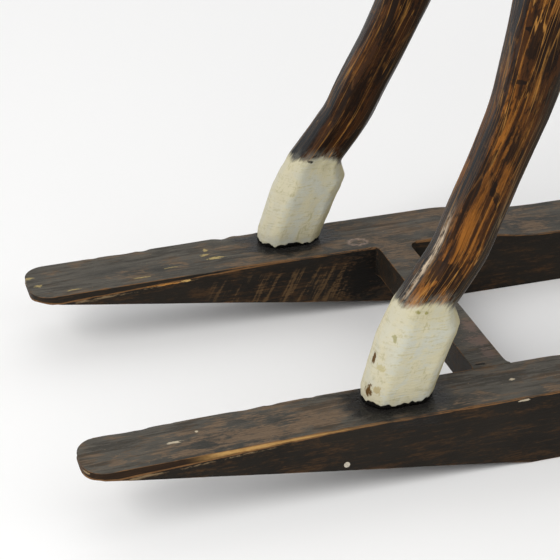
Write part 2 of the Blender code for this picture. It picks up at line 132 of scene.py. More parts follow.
# Body
BODY_LENGTH = 0.67
BODY_DEPTH = 0.27
BODY_WIDTH = 0.196
CHEEK = 0.082
BODY_STATIONS = (
    (-0.5, 0.42, 0.62, 0.4), (-0.478, 0.26, 0.74, 0.62), (-0.43, 0.11, 0.88, 0.8),
    (-0.36, 0.03, 0.96, 0.9), (-0.27, 0.0, 1.0, 0.93), (-0.18, 0.01, 0.99, 0.88),
    (-0.09, 0.03, 0.93, 0.95), (0.0, 0.04, 0.9, 1.0), (0.09, 0.04, 0.9, 0.97),
    (0.18, 0.04, 0.94, 0.9), (0.27, 0.05, 0.99, 0.92), (0.36, 0.09, 1.0, 0.9),
    (0.43, 0.18, 0.95, 0.78), (0.478, 0.32, 0.86, 0.58), (0.5, 0.46, 0.76, 0.38),
)
CHEEK_ZONE = 0.18
BODY_SQUARENESS = 0.76

# Neck and head
NECK_SEAT_FRONT = 0.44
NECK_SEAT_BACK = 0.99
NECK_SEAT_LENGTH = 0.33
NECK_LENGTH = 0.36
NECK_SQUARENESS = 0.9
NECK_STATIONS = (
    (-0.2, 0.0, 0.405, 0.226), (0.0, 0.0, 0.375, 0.222), (0.16, -0.015, 0.33, 0.2),
    (0.36, -0.01, 0.27, 0.17), (0.58, 0.02, 0.218, 0.142), (0.78, 0.065, 0.182, 0.12),
    (0.93, 0.11, 0.158, 0.1), (1.03, 0.145, 0.11, 0.074), (1.07, 0.16, 0.06, 0.046),
)
HEAD_LENGTH = 0.24
HEAD_PITCH = math.radians(55)
POLL_OFFSET = (0.02, 0, 0.02)
HEAD_STATIONS = (
    (-0.04, 0.03, -0.24, 0.08), (0.06, 0.075, -0.38, 0.135), (0.2, 0.09, -0.43, 0.17),
    (0.34, 0.078, -0.41, 0.165), (0.48, 0.048, -0.32, 0.135), (0.62, 0.024, -0.245, 0.11),
    (0.76, 0.008, -0.225, 0.102), (0.88, 0.0, -0.235, 0.108), (0.96, -0.02, -0.21, 0.09),
    (1.0, -0.065, -0.155, 0.045),
)
EAR_PLACE = (0.05, 0.165, 0.118)
EYE_PLACE = (0.3, -0.04, 0.138)
NOSTRIL_PLACE = (0.9, -0.055, 0.098)
EAR_HEIGHT = 0.056
MOUTH_CORNER = (0.8, -0.148)
MOUTH_FRONT = (1.1, -0.15)
EAR_RADIUS = 0.018
MANE_HEIGHT = 0.022
MANE_HALF_WIDTH = 0.02
MANE_LOCKS = 7

# Tail
TAIL_LENGTH = 0.4
TAIL_STATIONS = (
    (0.0, 0.0, 0.05), (0.06, 0.025, 0.058), (0.13, 0.02, 0.072), (0.2, -0.05, 0.086),
    (0.245, -0.17, 0.096), (0.265, -0.32, 0.098), (0.275, -0.47, 0.088), (0.295, -0.6, 0.062),
    (0.325, -0.7, 0.026),
)

# Dents and swellings of the face: place in shares of the head's length, reach and height
FACE = (
    (EYE_PLACE, (0.022, 0.01, 0.018), -0.0022),
    (NOSTRIL_PLACE, (0.007, 0.008, 0.006), -0.006),
    ((0.3, -0.24, 0.15), (0.045, 0.02, 0.045), 0.003),
)
EYEBALL_RADIUS = 0.0115
MOUTH_DEPTH = 0.0032
MOUTH_WIDTH = 0.0022
SKIN_VOXEL = 0.0022
SKIN_SOFTENING = 4

# Chisel cuts: size across and along the grain, and depth
LEG_CUT = ((0.012, 0.012, 0.085), 0.0008)
HOOF_CUT = ((0.016, 0.016, 0.026), 0.0011)
BODY_CUT = ((0.022, 0.022, 0.13), 0.0012)
NECK_CUT = ((0.016, 0.016, 0.09), 0.0008)

# Camera, lamps and the brightness of the room
CAMERA_PLACE = (-0.763, -1.1321, 0.7514)
CAMERA_AZIMUTH = math.radians(-17.4)
CAMERA_ELEVATION = math.radians(28.74)
CAMERA_LENS = 109.29
ROOM = 0.8
LAMPS = (
    ("key", (-2.8, -1.2, 2.2), (-0.3, 0, 0.3), 1.8, 60, (1, 0.99, 0.97)),
    ("fill", (1.8, -2.4, 1.6), (0, 0, 0.3), 2.0, 6, (1, 1, 1)),
)

SOLE_Z = ROCKER_HEIGHT + FIT
LEG_TOP_Z = SOLE_Z + LEG_LENGTH
BELLY_Z = LEG_TOP_Z - LEG_LAP


# Repeatable noise and chisel facets, worked out for whole arrays of places


def stacked(x, y, z):
    """Places from their three coordinates, which are broadcast together."""
    return np.stack(np.broadcast_arrays(x, y, z), axis=-1)


def metres(values):
    """A row of millimetres in metres."""
    return tuple(value / 1000 for value in values)


def cell_random(cells, channel):
    """A repeatable number from 0 to 1 per lattice cell: the fraction of a large multiple of a sine."""
    mixed = cells @ np.array([127.1, 311.7, 74.7]) + channel * 191.3
    return np.mod(np.sin(mixed) * 43758.5453, 1.0)


def drift(places, channel):
    """Smooth noise from -1 to 1: random numbers at lattice corners, blended with eased weights."""
    base = np.floor(places)
    share = places - base
    share = share * share * (3 - 2 * share)
    total = 0
    for corner in itertools.product((0, 1), repeat=3):
        weight = np.prod(np.where(corner, share, 1 - share), axis=-1)
        total = total + weight * cell_random(base + corner, channel)
    return 2 * total - 1


def facets(places, channel):
    """Chisel facets: the distance of the second nearest jittered lattice point less that of the
    nearest, which is 0 on the ridge between two facets and grows towards a facet's middle."""
    base = np.floor(places)
    nearest = np.full(places.shape[:-1], 9.0)
    second = nearest.copy()
    for offset in itertools.product((-1, 0, 1), repeat=3):
        cell = base + offset
        jitter = stacked(*(cell_random(cell, channel + axis) for axis in range(3)))
        distance = np.linalg.norm(places - cell - jitter, axis=-1)
        second = np.where(distance < nearest, nearest, np.minimum(second, distance))
        nearest = np.minimum(nearest, distance)
    return second - nearest


def wander(places, size, reach, channel):
    """Places shifted along each axis by smooth noise of the given size and reach."""
    return places + reach * stacked(*(drift(places / size, channel + axis) for axis in range(3)))


def bell(distance, reach):
    """1 at no distance, falling off as a bell curve."""
    return np.exp(-(distance / reach) ** 2)


def bell_round(points, centre, radii):
    """1 at a centre, falling off as a bell curve with its own reach along each axis."""
    return np.exp(-np.sum(((points - centre) / radii) ** 2, axis=-1))


def eased(low, high, value):
    """0 below low, 1 above high, and a smooth step between them."""
    share = np.clip((value - low) / (high - low), 0, 1)
    return share * share * (3 - 2 * share)


def curve(table, column=1):
    """A smooth function through a table's column: a cubic between neighbours whose slope at each
    row is the harmonic mean of the slopes on both sides, or level where they differ in sign."""
    rows = np.array(table, float)
    x, y = rows[:, 0], rows[:, column]
    run = np.diff(x)
    slope = np.diff(y) / run
    same = slope[1:] * slope[:-1] > 0
    mean = np.where(same, 2 * slope[1:] * slope[:-1] / np.where(same, slope[1:] + slope[:-1], 1), 0)
    tangent = np.concatenate([slope[:1], mean, slope[-1:]])

    def read(places):
        places = np.clip(places, x[0], x[-1])
        i = np.clip(np.searchsorted(x, places) - 1, 0, len(run) - 1)
        share = (places - x[i]) / run[i]
        square, cube = share ** 2, share ** 3
        return (
            (2 * cube - 3 * square + 1) * y[i] + (cube - 2 * square + share) * run[i] * tangent[i]
            + (3 * square - 2 * cube) * y[i + 1] + (cube - square) * run[i] * tangent[i + 1]
        )

    return read


def profile(table, places):
    """Every column of a table after its first, read at the places along smooth curves."""
    return [curve(table, column)(places) for column in range(1, len(table[0]))]


def softened(table, places, reach):
    """Straight lines through a table, averaged over a window on both sides of each place."""
    x, y = np.array(table, float).T
    shifts = np.linspace(-1, 1, 9)
    return np.mean([np.interp(places + shift * reach, x, y) for shift in shifts], axis=0)


# Surfaces


def rounded_loop(corners, radius, arc, edge):
    """Points round polygons given as [row, corner, 2]: each corner is replaced by a quadratic
    curve of `arc` points that starts and ends `radius` away, and each edge takes `edge` points."""
    before = np.roll(corners, 1, axis=1) - corners
    after = np.roll(corners, -1, axis=1) - corners
    before_length = np.linalg.norm(before, axis=-1, keepdims=True)
    after_length = np.linalg.norm(after, axis=-1, keepdims=True)
    start = corners + before * np.minimum(radius / before_length, 0.45)
    end = corners + after * np.minimum(radius / after_length, 0.45)
    bend = np.linspace(0, 1, arc)[:, None]
    run = (np.arange(edge) + 1)[:, None] / (edge + 1)
    loops = []
    for k in range(corners.shape[1]):
        a, b, c = start[:, k, None], corners[:, k, None], end[:, k, None]
        loops.append((1 - bend) ** 2 * a + 2 * bend * (1 - bend) * b + bend ** 2 * c)
        following = start[:, (k + 1) % corners.shape[1], None]
        loops.append(c + (following - c) * run)
    return np.concatenate(loops, axis=1)


def ring_normals(points):
    """Outward normals of a tube [row, column, 3]: the cross product of its two difference vectors,
    turned away from each ring's middle."""
    around = np.roll(points, -1, axis=1) - np.roll(points, 1, axis=1)
    along = np.gradient(points, axis=0)
    normal = np.cross(around, along)
    normal /= np.linalg.norm(normal, axis=-1, keepdims=True) + 1e-12
    middle = points.mean(axis=1, keepdims=True)
    sign = np.sign(np.sum(normal * (points - middle)))
    return normal * sign


def nearness(loop, corners):
    """Distance of each ring point from the nearest of its ring's given corners."""
    return np.linalg.norm(loop[:, :, None] - corners[:, None], axis=-1).min(axis=-1)


def tube_shell(points):
    """Vertices and faces of a closed tube: quads between neighbouring rings and a fan of triangles
    to a middle point at each end, turned to the side that the outward normals point to."""
    rows, columns = points.shape[:2]
    places = np.concatenate([points.reshape(-1, 3), points[[0, -1]].mean(axis=1)])
    index = np.arange(rows * columns).reshape(rows, columns)
    right = np.roll(index, -1, axis=1)
    quads = np.stack([index[:-1], right[:-1], right[1:], index[1:]], axis=-1).reshape(-1, 4)
    first = np.full(columns, rows * columns)
    start = np.stack([right[0], index[0], first], axis=-1)
    end = np.stack([index[-1], right[-1], first + 1], axis=-1)
    fans = np.concatenate([start, end])
    a, b, c = places[quads[rows // 2 * columns, :3]]
    if np.cross(b - a, c - b) @ ring_normals(points)[rows // 2, 0] < 0:
        quads, fans = quads[:, [0, 3, 2, 1]], fans[:, [0, 2, 1]]
    return places, quads, fans


def tube_mesh(name, points):
    """A smooth closed mesh through rings of points."""
    places, quads, fans = tube_shell(points)
    mesh = bpy.data.meshes.new(name)
    mesh.from_pydata(places.tolist(), [], quads.tolist() + fans.tolist())
    mesh.polygons.foreach_set("use_smooth", np.ones(len(mesh.polygons), bool))
    return mesh


def keep(mesh, name, values):
    """Keeps one number or one vector per vertex on the mesh."""
    kind, field = ("FLOAT_VECTOR", "vector") if values.ndim == 2 else ("FLOAT", "value")
    attribute = mesh.attributes.new(name, kind, "POINT")
    attribute.data.foreach_set(field, values.astype(np.float32).ravel())


def store(mesh, name, values):
    """Keeps values worked out per ring point; an end's middle gets the mean of its ring."""
    ends = values[[0, -1]].mean(axis=1)
    keep(mesh, name, np.concatenate([values.reshape(-1, *values.shape[2:]), ends]))


def show(name, mesh, finish, slot, *nodes):
    """A visible piece in place of its CAD nodes."""
    piece = bpy.data.objects.new(name, mesh)
    bpy.context.scene.collection.objects.link(piece)
    mesh.materials.clear()
    mesh.materials.append(finish)
    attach(piece, "root")
    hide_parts(*nodes)


# Rockers and cross bars


def rocker_top(place):
    """Height of a rocker's top: it rises from the tip, runs level, then eases down to the waist."""
    height = ROCKER_TIP_TOP + (ROCKER_HEIGHT - ROCKER_TIP_TOP) * np.minimum(place / LEVEL_START, 1)
    dip = 0.5 - 0.5 * np.cos(np.pi * np.clip((place - DIP_START) / DIP_LENGTH, 0, 1))
    return height - (ROCKER_HEIGHT - ROCKER_WAIST_HEIGHT) * dip


def rocker_stations(length):
    """Distances along a rocker, close at its front half and at its tips."""
    half = length / 2
    tip = TIP_RADIUS * (1 - np.cos(np.linspace(0, np.pi / 2, 14)))
    front = np.concatenate([tip, np.arange(TIP_RADIUS + 0.0013, half, 0.0015)])
    rear = np.concatenate([tip, np.arange(TIP_RADIUS + 0.0025, half, 0.0036)])
    return np.concatenate([front - half, (half - rear)[::-1]]), np.concatenate([front, rear[::-1]])


def make_rocker(side, finish):
    """A rocker as a tube of rounded six-cornered sections, waved and chipped along its arrises."""
    x, place = rocker_stations(ROCKER_LENGTH[side])
    thickness = ROCKER_THICKNESS[side]
    inside = np.minimum(place, TIP_RADIUS)
    half = thickness / 2 - TIP_RADIUS + np.sqrt(TIP_RADIUS ** 2 - (TIP_RADIUS - inside) ** 2)
    top = rocker_top(place)
    under = np.minimum(np.maximum(RAMP_RISE * (1 - place / RAMP_LENGTH), 0), top - TIP_EDGE)
    chamfer = ARRIS + (TIP_CHAMFER - ARRIS) * np.maximum(1 - place / TIP_CHAMFER_LENGTH, 0)
    chamfer = np.minimum(chamfer, TIP_CHAMFER_SHARE * (top - under))
    across = np.stack([-half, half, half, half - ARRIS, ARRIS - half, -half], axis=-1)
    up = np.stack([under, under, top - chamfer, top, top, top - chamfer], axis=-1)
    corners = np.stack([across, up], axis=-1)
    loop = rounded_loop(corners, 0.0011, 7, 6)
    middle = SIDES[side] * (OVERALL_WIDTH - thickness) / 2
    points = stacked(x[:, None], middle + loop[..., 0], loop[..., 1])
    normals = ring_normals(points)
    arris, lower = nearness(loop, corners[:, 2:]), nearness(loop, corners[:, :2])
    channel = 11 if side == "left" else 29
    wave = drift(points / (0.09, 0.05, 0.05), channel)
    wave += 0.5 * drift(points / (0.03, 0.02, 0.02), channel + 1)
    nick = np.maximum(drift(points / (0.011, 0.006, 0.006), channel + 2) - 0.25, 0)
    worn = bell(arris, 0.0022)
    clear_floor = eased(0.0, 0.004, points[..., 2])
    inward = (0.00028 * (wave + 1) + 0.0016 * nick * worn) * clear_floor
    for centre, radii, depth in CHIPS:
        inward += depth / 1000 * bell_round(points * 1000, centre, radii)
    points -= normals * inward[..., None]
    points[..., 2] = np.maximum(points[..., 2], 0)
    mesh = tube_mesh("rocker_" + side, points)
    store(mesh, "arris", bell(arris, 0.0011) + 0.8 * bell(lower, 0.0013))
    store(mesh, "drop", np.clip((top[:, None] - loop[..., 1]) / chamfer[:, None], 0, 4))
    # The top mask decides where the paint gets its painted light and painted sheen.
    store(mesh, "top", eased(0.35, 0.85, normals[..., 2]))
    show("rocker_%s_worn" % side, mesh, finish, "rocker_wood", "rocker_" + side)


def make_crossbar(name, x, finish):
    """A bar of rounded six-cornered sections, widened by a quarter round where it meets a rocker."""
    ends = (
        -(OVERALL_WIDTH / 2 - ROCKER_THICKNESS["left"]) - BAR_HOUSING,
        OVERALL_WIDTH / 2 - ROCKER_THICKNESS["right"] + BAR_HOUSING,
    )
    y = np.linspace(ends[0], ends[1], 140)
    gap = np.minimum(y - ends[0], ends[1] - y) - BAR_HOUSING
    near = np.clip(BAR_FLARE - gap, 0, BAR_FLARE)
    flare = BAR_FLARE - np.sqrt(np.maximum(BAR_FLARE ** 2 - near ** 2, 0))
    fore = BAR_WIDTH / 2 + flare * np.where(y > 0, 0.25, 0.1)
    rear = BAR_WIDTH / 2 + flare * np.where(y > 0, 0.8, 0.3)
    low = ROCKER_HEIGHT - BAR_HEIGHT
    shoulder = low + BAR_CHAMFER
    across = np.stack([BAR_CHAMFER - fore, rear - BAR_CHAMFER, rear, rear, -fore, -fore], axis=-1)
    up = np.array([low, low, shoulder, ROCKER_HEIGHT, ROCKER_HEIGHT, shoulder])
    corners = np.stack(np.broadcast_arrays(across, up), axis=-1)
    loop = rounded_loop(corners, 0.001, 6, 8)
    points = stacked(x + loop[..., 0], y[:, None], loop[..., 1])
    normals = ring_normals(points)
    wave = drift(points / 0.03, 41) + 0.4 * drift(points / 0.011, 42)
    points -= normals * (0.0002 * (wave + 1))[..., None]
    arris = nearness(loop, corners[:, 2:])
    mesh = tube_mesh(name, points)
    store(mesh, "arris", 0.9 * bell(arris, 0.0011))
    store(mesh, "drop", 4 + 0 * arris)
    # The top mask decides where the paint gets its painted light and painted sheen.
    store(mesh, "top", eased(0.35, 0.85, normals[..., 2]))
    show(name + "_worn", mesh, finish, "rocker_wood", name)


# Legs


def make_leg(name, side, hoof_x, fore_edge, rear_edge, grid, finish):
    """A leg as a tube of rounded eight-cornered sections, carved with long chisel facets."""
    rows, columns = grid
    height = np.linspace(0, 1000, rows)
    scale = LEG_LENGTH / 1000
    reach = np.interp(height, (0, 150, 300, 1000), (4, 4, 22, 34))
    thick = curve(LEG_THICKNESS)(height) * scale / 2
    fore = hoof_x + softened(fore_edge, height, reach) * scale
    rear = hoof_x + softened(rear_edge, height, reach) * scale
    fetlock = FETLOCK_HEIGHT * HOOF_STRETCH[name]
    settled = 2 * FETLOCK_HEIGHT
    carved = np.interp(height, (0, FETLOCK_HEIGHT, settled, 1000), (0, fetlock, settled, 1000))
    foot = OVERALL_WIDTH / 2 - HOOF_INSET[name]
    lap_start = 1000 * (1 - LEG_LAP / LEG_LENGTH)
    centre = foot + (CHEEK + FIT + thick - foot) * np.minimum(carved / lap_start, 1)
    half = (rear - fore) / 2
    flat, edge = half * LEG_FLAT_SIDE, thick * LEG_FLAT_FORE
    along = np.stack([-half, -flat, flat, half, half, flat, -flat, -half], axis=-1)
    out = np.stack([-edge, -thick, -thick, -edge, edge, thick, thick, edge], axis=-1)
    corners = np.stack([along, out], axis=-1)
    corner_points = columns // 16
    radius = np.interp(height, (0, 130, 250, 1000), (0.005, 0.0042, 0.0045, 0.009))[:, None, None]
    loop = rounded_loop(corners, radius, corner_points, columns // 8 - corner_points)
    level = (carved * scale)[:, None]
    out = np.maximum(centre[:, None] + loop[..., 1], CHEEK + FIT)
    points = stacked((fore + half)[:, None] + loop[..., 0], SIDES[side] * out, SOLE_Z + level)
    grain = stacked(loop[..., 0], loop[..., 1], level)
    normals = ring_normals(points)
    channel = 50 + 7 * sorted(HOOF_STRETCH).index(name)
    bent = wander(grain, (0.03, 0.03, 0.08), 0.004, channel)
    ridge = facets(bent / LEG_CUT[0], channel)
    wave = drift(grain / (0.02, 0.02, 0.09), channel + 4)
    on_hoof = 1 - eased(0.068, 0.078, grain[..., 2])
    free = eased(0, 0.003, np.abs(points[..., 1]) - CHEEK - FIT)
    cut = np.minimum(facets(grain / HOOF_CUT[0], channel + 9), 0.4)
    brush = drift(grain / (0.05, 0.05, 0.0035), channel + 12)
    stem = LEG_CUT[1] * np.minimum(ridge * 2, 1) + 0.0004 * (wave + 1)
    hoof = HOOF_CUT[1] * cut + 0.0003 * (wave + 1) + 0.00008 * brush
    depth = stem + (hoof - stem) * on_hoof
    from_top = LEG_LENGTH + 0.001 - grain[..., 2]
    points -= normals * (depth * free * eased(0, 0.02, from_top))[..., None]
    mesh = tube_mesh(name, points)
    store(mesh, "grain", grain)
    store(mesh, "ridge", 1 - np.minimum(ridge / 0.22, 1))
    store(mesh, "across", loop[..., 0] / half[:, None])
    show(name + "_carved", mesh, finish, "carved_wood", name)


# Body, neck, head and tail


def outline(count, squareness):
    """Points of a rounded outline of unit half sizes: powers of the cosine and the sine."""
    angle = 2 * np.pi * (np.arange(count) + 0.5) / count
    across, along = np.cos(angle), np.sin(angle)
    return (
        np.sign(across) * np.abs(across) ** squareness,
        np.sign(along) * np.abs(along) ** squareness,
    )


def neck_seat():
    """The sloping plane on which the neck stands: its middle, its normal and its forward run."""
    front = np.array([-BODY_LENGTH / 2, 0, BELLY_Z + NECK_SEAT_FRONT * BODY_DEPTH])
    back_x = front[0] + NECK_SEAT_LENGTH * BODY_LENGTH
    back = np.array([back_x, 0, BELLY_Z + NECK_SEAT_BACK * BODY_DEPTH])
    run = (front - back) / np.linalg.norm(front - back)
    return (front + back) / 2, np.array([run[2], 0, -run[0]]), run


def carve(points, normals, grain, size, depth, channel):
    """Sinks points along their normals, most in the middle of each chisel facet; returns the
    carved points and how near each is to a ridge."""
    ridge = facets(grain / size, channel)
    wave = drift(grain / (3 * np.array(size)), channel + 5)
    sunk = depth * np.minimum(ridge * 2, 1) + 0.4 * depth * (wave + 1)
    return points - normals * sunk[..., None], 1 - np.minimum(ridge / 0.2, 1)


def make_body(finish):
    """The barrel, chest and rump: rounded sections through smooth curves of the body's stations."""
    turn = np.linspace(-np.pi / 2, np.pi / 2, 230)
    place = 0.5 * np.sin(turn)
    low, high, width = profile(BODY_STATIONS, place)
    across, along = outline(190, BODY_SQUARENESS)
    half_width = (width * BODY_WIDTH / 2)[:, None]
    flat_zone = eased(CHEEK_ZONE * 0.6, CHEEK_ZONE, np.abs(place))[:, None]
    limit = BODY_WIDTH / 2 + (CHEEK - BODY_WIDTH / 2) * flat_zone
    y = np.clip(across * half_width, -limit, limit)
    z = BELLY_Z + BODY_DEPTH / 2 * ((high + low)[:, None] + along * (high - low)[:, None])
    points = stacked((place * BODY_LENGTH)[:, None], y, z)
    seat, normal, _ = neck_seat()
    above = np.maximum((points - seat) @ normal, 0)
    points -= above[..., None] * normal
    normals = ring_normals(points)
    grain = points[..., [1, 2, 0]]
    free = eased(0.0, 0.01, CHEEK - np.abs(points[..., 1])) + 1 - flat_zone
    bent = wander(grain, 0.07, 0.006, 80)
    carved, ridge = carve(points, normals, bent, *BODY_CUT, 83)
    points += (carved - points) * np.clip(free, 0, 1)[..., None]
    mesh = tube_mesh("body", points)
    store(mesh, "grain", grain)
    store(mesh, "ridge", ridge)
    store(mesh, "across", along[None] * np.ones(points.shape[:2]))
    show("body_carved", mesh, finish, "carved_wood", "body")


def spine(path):
    """Directions of a path of points, from its differences."""
    way = np.gradient(path, axis=0)
    return way / np.linalg.norm(way, axis=-1, keepdims=True)


def neck_surface(rows, columns):
    """The neck as rings square to its middle line, with the depth and width of its stations."""
    seat, normal, run = neck_seat()
    place = np.linspace(1, len(NECK_STATIONS) - 1, rows)
    along, bend, depth, width = profile([(i, *row) for i, row in enumerate(NECK_STATIONS)], place)
    path = seat + (along[:, None] * normal + bend[:, None] * run) * NECK_LENGTH
    way = spine(path)
    back = stacked(way[:, 2], 0, -way[:, 0])
    sideways, deep = outline(columns, NECK_SQUARENESS)
    points = path[:, None] + back[:, None] * ((deep * depth[:, None])[..., None] * NECK_LENGTH)
    points[..., 1] += sideways * width[:, None] * NECK_LENGTH
    return points, path, back, depth * NECK_LENGTH


def head_frame():
    """The head's poll, its direction to the muzzle and its upward direction."""
    seat, normal, run = neck_seat()
    along, bend = NECK_STATIONS[-1][:2]
    poll = seat + (normal * along + run * bend) * NECK_LENGTH + np.array(POLL_OFFSET)
    c, s = math.cos(HEAD_PITCH), math.sin(HEAD_PITCH)
    return poll, np.array([-c, 0, -s]), np.array([-s, 0, c])


def on_head(place, side=1):
    """A place given in shares of the head's length: along, above the poll, out to the side."""
    poll, along, up = head_frame()
    return poll + (along * place[0] + up * place[1] + np.array([0, side * place[2], 0])) * HEAD_LENGTH


def head_surface(rows, columns):
    """The head as level rings from behind the poll to the muzzle."""
    poll, along, up = head_frame()
    first = HEAD_STATIONS[0][0]
    place = first + (1 - first) * np.sin(np.linspace(0, np.pi / 2, rows)) ** 0.9
    crown, jaw, width = profile(HEAD_STATIONS, place)
    sideways, high = outline(columns, NECK_SQUARENESS)
    middle, half = (crown + jaw) / 2, (crown - jaw) / 2
    lift = middle[:, None] + high * half[:, None]
    points = poll + (along * place[:, None, None] + up * lift[..., None]) * HEAD_LENGTH
    points[..., 1] += sideways * width[:, None] * HEAD_LENGTH
    return points


def ear_surface(side):
    """A leaf-shaped ear: its width swells and then tapers to the tip, and its front is hollow."""
    share = np.linspace(0, 1, 40)
    leaf = np.clip(1.05 * np.cos(0.5 * np.pi * share ** 1.6), 0.06, 1) * (0.85 + 0.5 * share * (1 - share))
    width = EAR_RADIUS * leaf[:, None]
    sideways, deep = outline(40, 1.0)
    hollow = 0.55 * eased(0.2, 0.9, share)[:, None] * np.maximum(-deep, 0) * (1 - np.abs(sideways)) ** 0.7
    base = on_head((EAR_PLACE[0], 0.04, EAR_PLACE[2] * 0.86), side)
    path = base + np.array([-0.006, side * 0.015, EAR_HEIGHT]) * share[:, None]
    return path[:, None] + stacked((deep * 0.62 + hollow) * width, sideways * width, 0)


def mane_surface(path, back, depth, rows):
    """A ridge of carved locks on the crest: the neck's crest line, thickened lock by lock."""
    place = np.linspace(0, 0.84, rows) * (len(path) - 1)
    low = np.floor(place).astype(int)
    share = (place - low)[:, None]
    crest = path + back * depth[:, None]
    middle = crest[low] * (1 - share) + crest[low + 1] * share
    outwards = back[low] * (1 - share) + back[low + 1] * share
    beat = np.linspace(0, MANE_LOCKS, rows)
    lock = 0.78 + 0.22 * np.abs(np.sin(np.pi * beat))
    taper = 0.3 + 0.7 * np.sin(np.pi * np.clip(beat / MANE_LOCKS, 0.02, 0.98)) ** 0.5
    sideways, high = outline(64, 0.8)
    angle = np.arctan2(high, sideways)
    strand = 1 + 0.05 * np.sin(9 * angle + 5 * beat[:, None]) * np.abs(np.sin(np.pi * beat))[:, None]
    size = (lock * taper)[:, None] * strand
    points = middle[:, None] + outwards[:, None] * (high * size * MANE_HEIGHT)[..., None]
    points[..., 1] += sideways * size * MANE_HALF_WIDTH
    return points


def ball_surface(centre, radius):
    """A ball as a tube of rings from pole to pole."""
    turn = np.linspace(0.02, np.pi - 0.02, 24)[:, None]
    angle = 2 * np.pi * np.arange(32) / 32
    across = np.sin(turn)
    return centre + radius * stacked(across * np.cos(angle), across * np.sin(angle), np.cos(turn))


def press(points, normals, centre, radii, height):
    """Lifts points along their normals by a bell curve of the given height round a centre."""
    return points + normals * (height * bell_round(points, centre, radii))[:, None]


def merged(name, surfaces, voxel, rounds):
    """One closed mesh round several overlapping tubes: they are remeshed together and smoothed."""
    places, faces, start = [], [], 0
    for points in surfaces:
        shell, quads, fans = tube_shell(points)
        places.append(shell)
        faces += (quads + start).tolist() + (fans + start).tolist()
        start += len(shell)
    mesh = bpy.data.meshes.new(name)
    mesh.from_pydata(np.concatenate(places).tolist(), [], faces)
    form = bpy.data.objects.new(name, mesh)
    bpy.context.scene.collection.objects.link(form)
    remesh = form.modifiers.new("One skin", "REMESH")
    remesh.mode = "VOXEL"
    remesh.voxel_size = voxel
    remesh.adaptivity = 0
    smooth = form.modifiers.new("Soften", "SMOOTH")
    smooth.factor = 0.5
    smooth.iterations = rounds
    settled = form.evaluated_get(bpy.context.evaluated_depsgraph_get())
    skin = bpy.data.meshes.new_from_object(settled)
    bpy.data.objects.remove(form)
    skin.polygons.foreach_set("use_smooth", np.ones(len(skin.polygons), bool))
    skin.name = name
    return skin


def make_neck_and_head(finish):
    """Neck, head, ears and mane merged into one skin, then carved with the features of the face."""
    neck, path, back, depth = neck_surface(150, 96)
    surfaces = [neck, head_surface(150, 96), mane_surface(path, back, depth, 220)]
    surfaces += [ear_surface(side) for side in SIDES.values()]
    surfaces += [ball_surface(on_head(EYE_PLACE, side), EYEBALL_RADIUS) for side in SIDES.values()]
    skin = merged("neck_and_head", surfaces, SKIN_VOXEL, SKIN_SOFTENING)
    points = np.empty(len(skin.vertices) * 3)
    normals = points.copy()
    skin.vertices.foreach_get("co", points)
    skin.vertices.foreach_get("normal", normals)
    points, normals = points.reshape(-1, 3), normals.reshape(-1, 3)
    for side, (place, reach, height) in itertools.product(SIDES.values(), FACE):
        points = press(points, normals, on_head(place, side), reach, height)
    poll, muzzle, lift = head_frame()
    share, height = (points - poll) @ muzzle / HEAD_LENGTH, (points - poll) @ lift
    (corner, corner_height), (front, front_height) = MOUTH_CORNER, MOUTH_FRONT
    line = np.interp(share, (corner, front), (corner_height, front_height)) * HEAD_LENGTH
    groove = bell(height - line, MOUTH_WIDTH) * eased(corner - 0.02, corner, share)
    points = points - normals * (MOUTH_DEPTH * groove)[:, None]
    seat, normal, run = neck_seat()
    below = np.maximum((seat + normal * FIT - points) @ normal, 0)
    points = points + below[:, None] * normal
    grain = stacked(points[:, 1], (seat - points) @ run, (points - seat) @ normal)
    carved, ridge = carve(points, normals, grain, *NECK_CUT, 91)
    on_face = eased(-0.02, 0.05, (points - poll) @ muzzle)
    points = carved + (points - carved) * (0.7 * on_face)[:, None]
    skin.vertices.foreach_set("co", points.ravel())
    keep(skin, "grain", grain)
    keep(skin, "ridge", ridge)
    keep(skin, "across", np.clip(grain[:, 1] / 0.15, -0.8, 0.8))
    show("neck_and_head_carved", skin, finish, "carved_wood", "neck_and_head")


def make_tail(finish):
    """The tail: lobed rings square to its middle line, its locks winding slowly round it."""
    low, high = BODY_STATIONS[-1][1:3]
    root = np.array([BODY_LENGTH / 2 - 0.004, 0, BELLY_Z + (low + high) * BODY_DEPTH / 2])
    place = np.linspace(0, len(TAIL_STATIONS) - 1, 240)
    behind, above, radius = profile([(i, *row) for i, row in enumerate(TAIL_STATIONS)], place)
    path = root + stacked(behind, 0, above) * TAIL_LENGTH
    way = spine(path)
    way[0] = (1, 0, 0)
    outward = stacked(-way[:, 2], 0, way[:, 0])
    angle = 2 * np.pi * np.arange(144) / 144
    wound = angle + 0.25 * place[:, None]
    lock = 0.935 + 0.065 * np.cos(6 * angle) + 0.02 * np.sin(19 * wound) + 0.012 * np.sin(31 * wound + 1)
    reach = (radius * TAIL_LENGTH)[:, None] * lock
    deep, sideways = np.cos(angle) * reach, np.sin(angle) * reach
    points = path[:, None] + outward[:, None] * deep[..., None]
    points[..., 1] += sideways
    mesh = tube_mesh("tail", points)
    length = np.cumsum(np.linalg.norm(np.diff(path, axis=0, prepend=path[:1]), axis=-1))
    store(mesh, "grain", stacked(deep, sideways, length[:, None]))
    store(mesh, "ridge", np.clip((lock - 0.95) / 0.05, 0, 1))
    store(mesh, "across", 0 * lock)
    show("tail_carved", mesh, finish, "carved_wood", "tail")


# Finishes


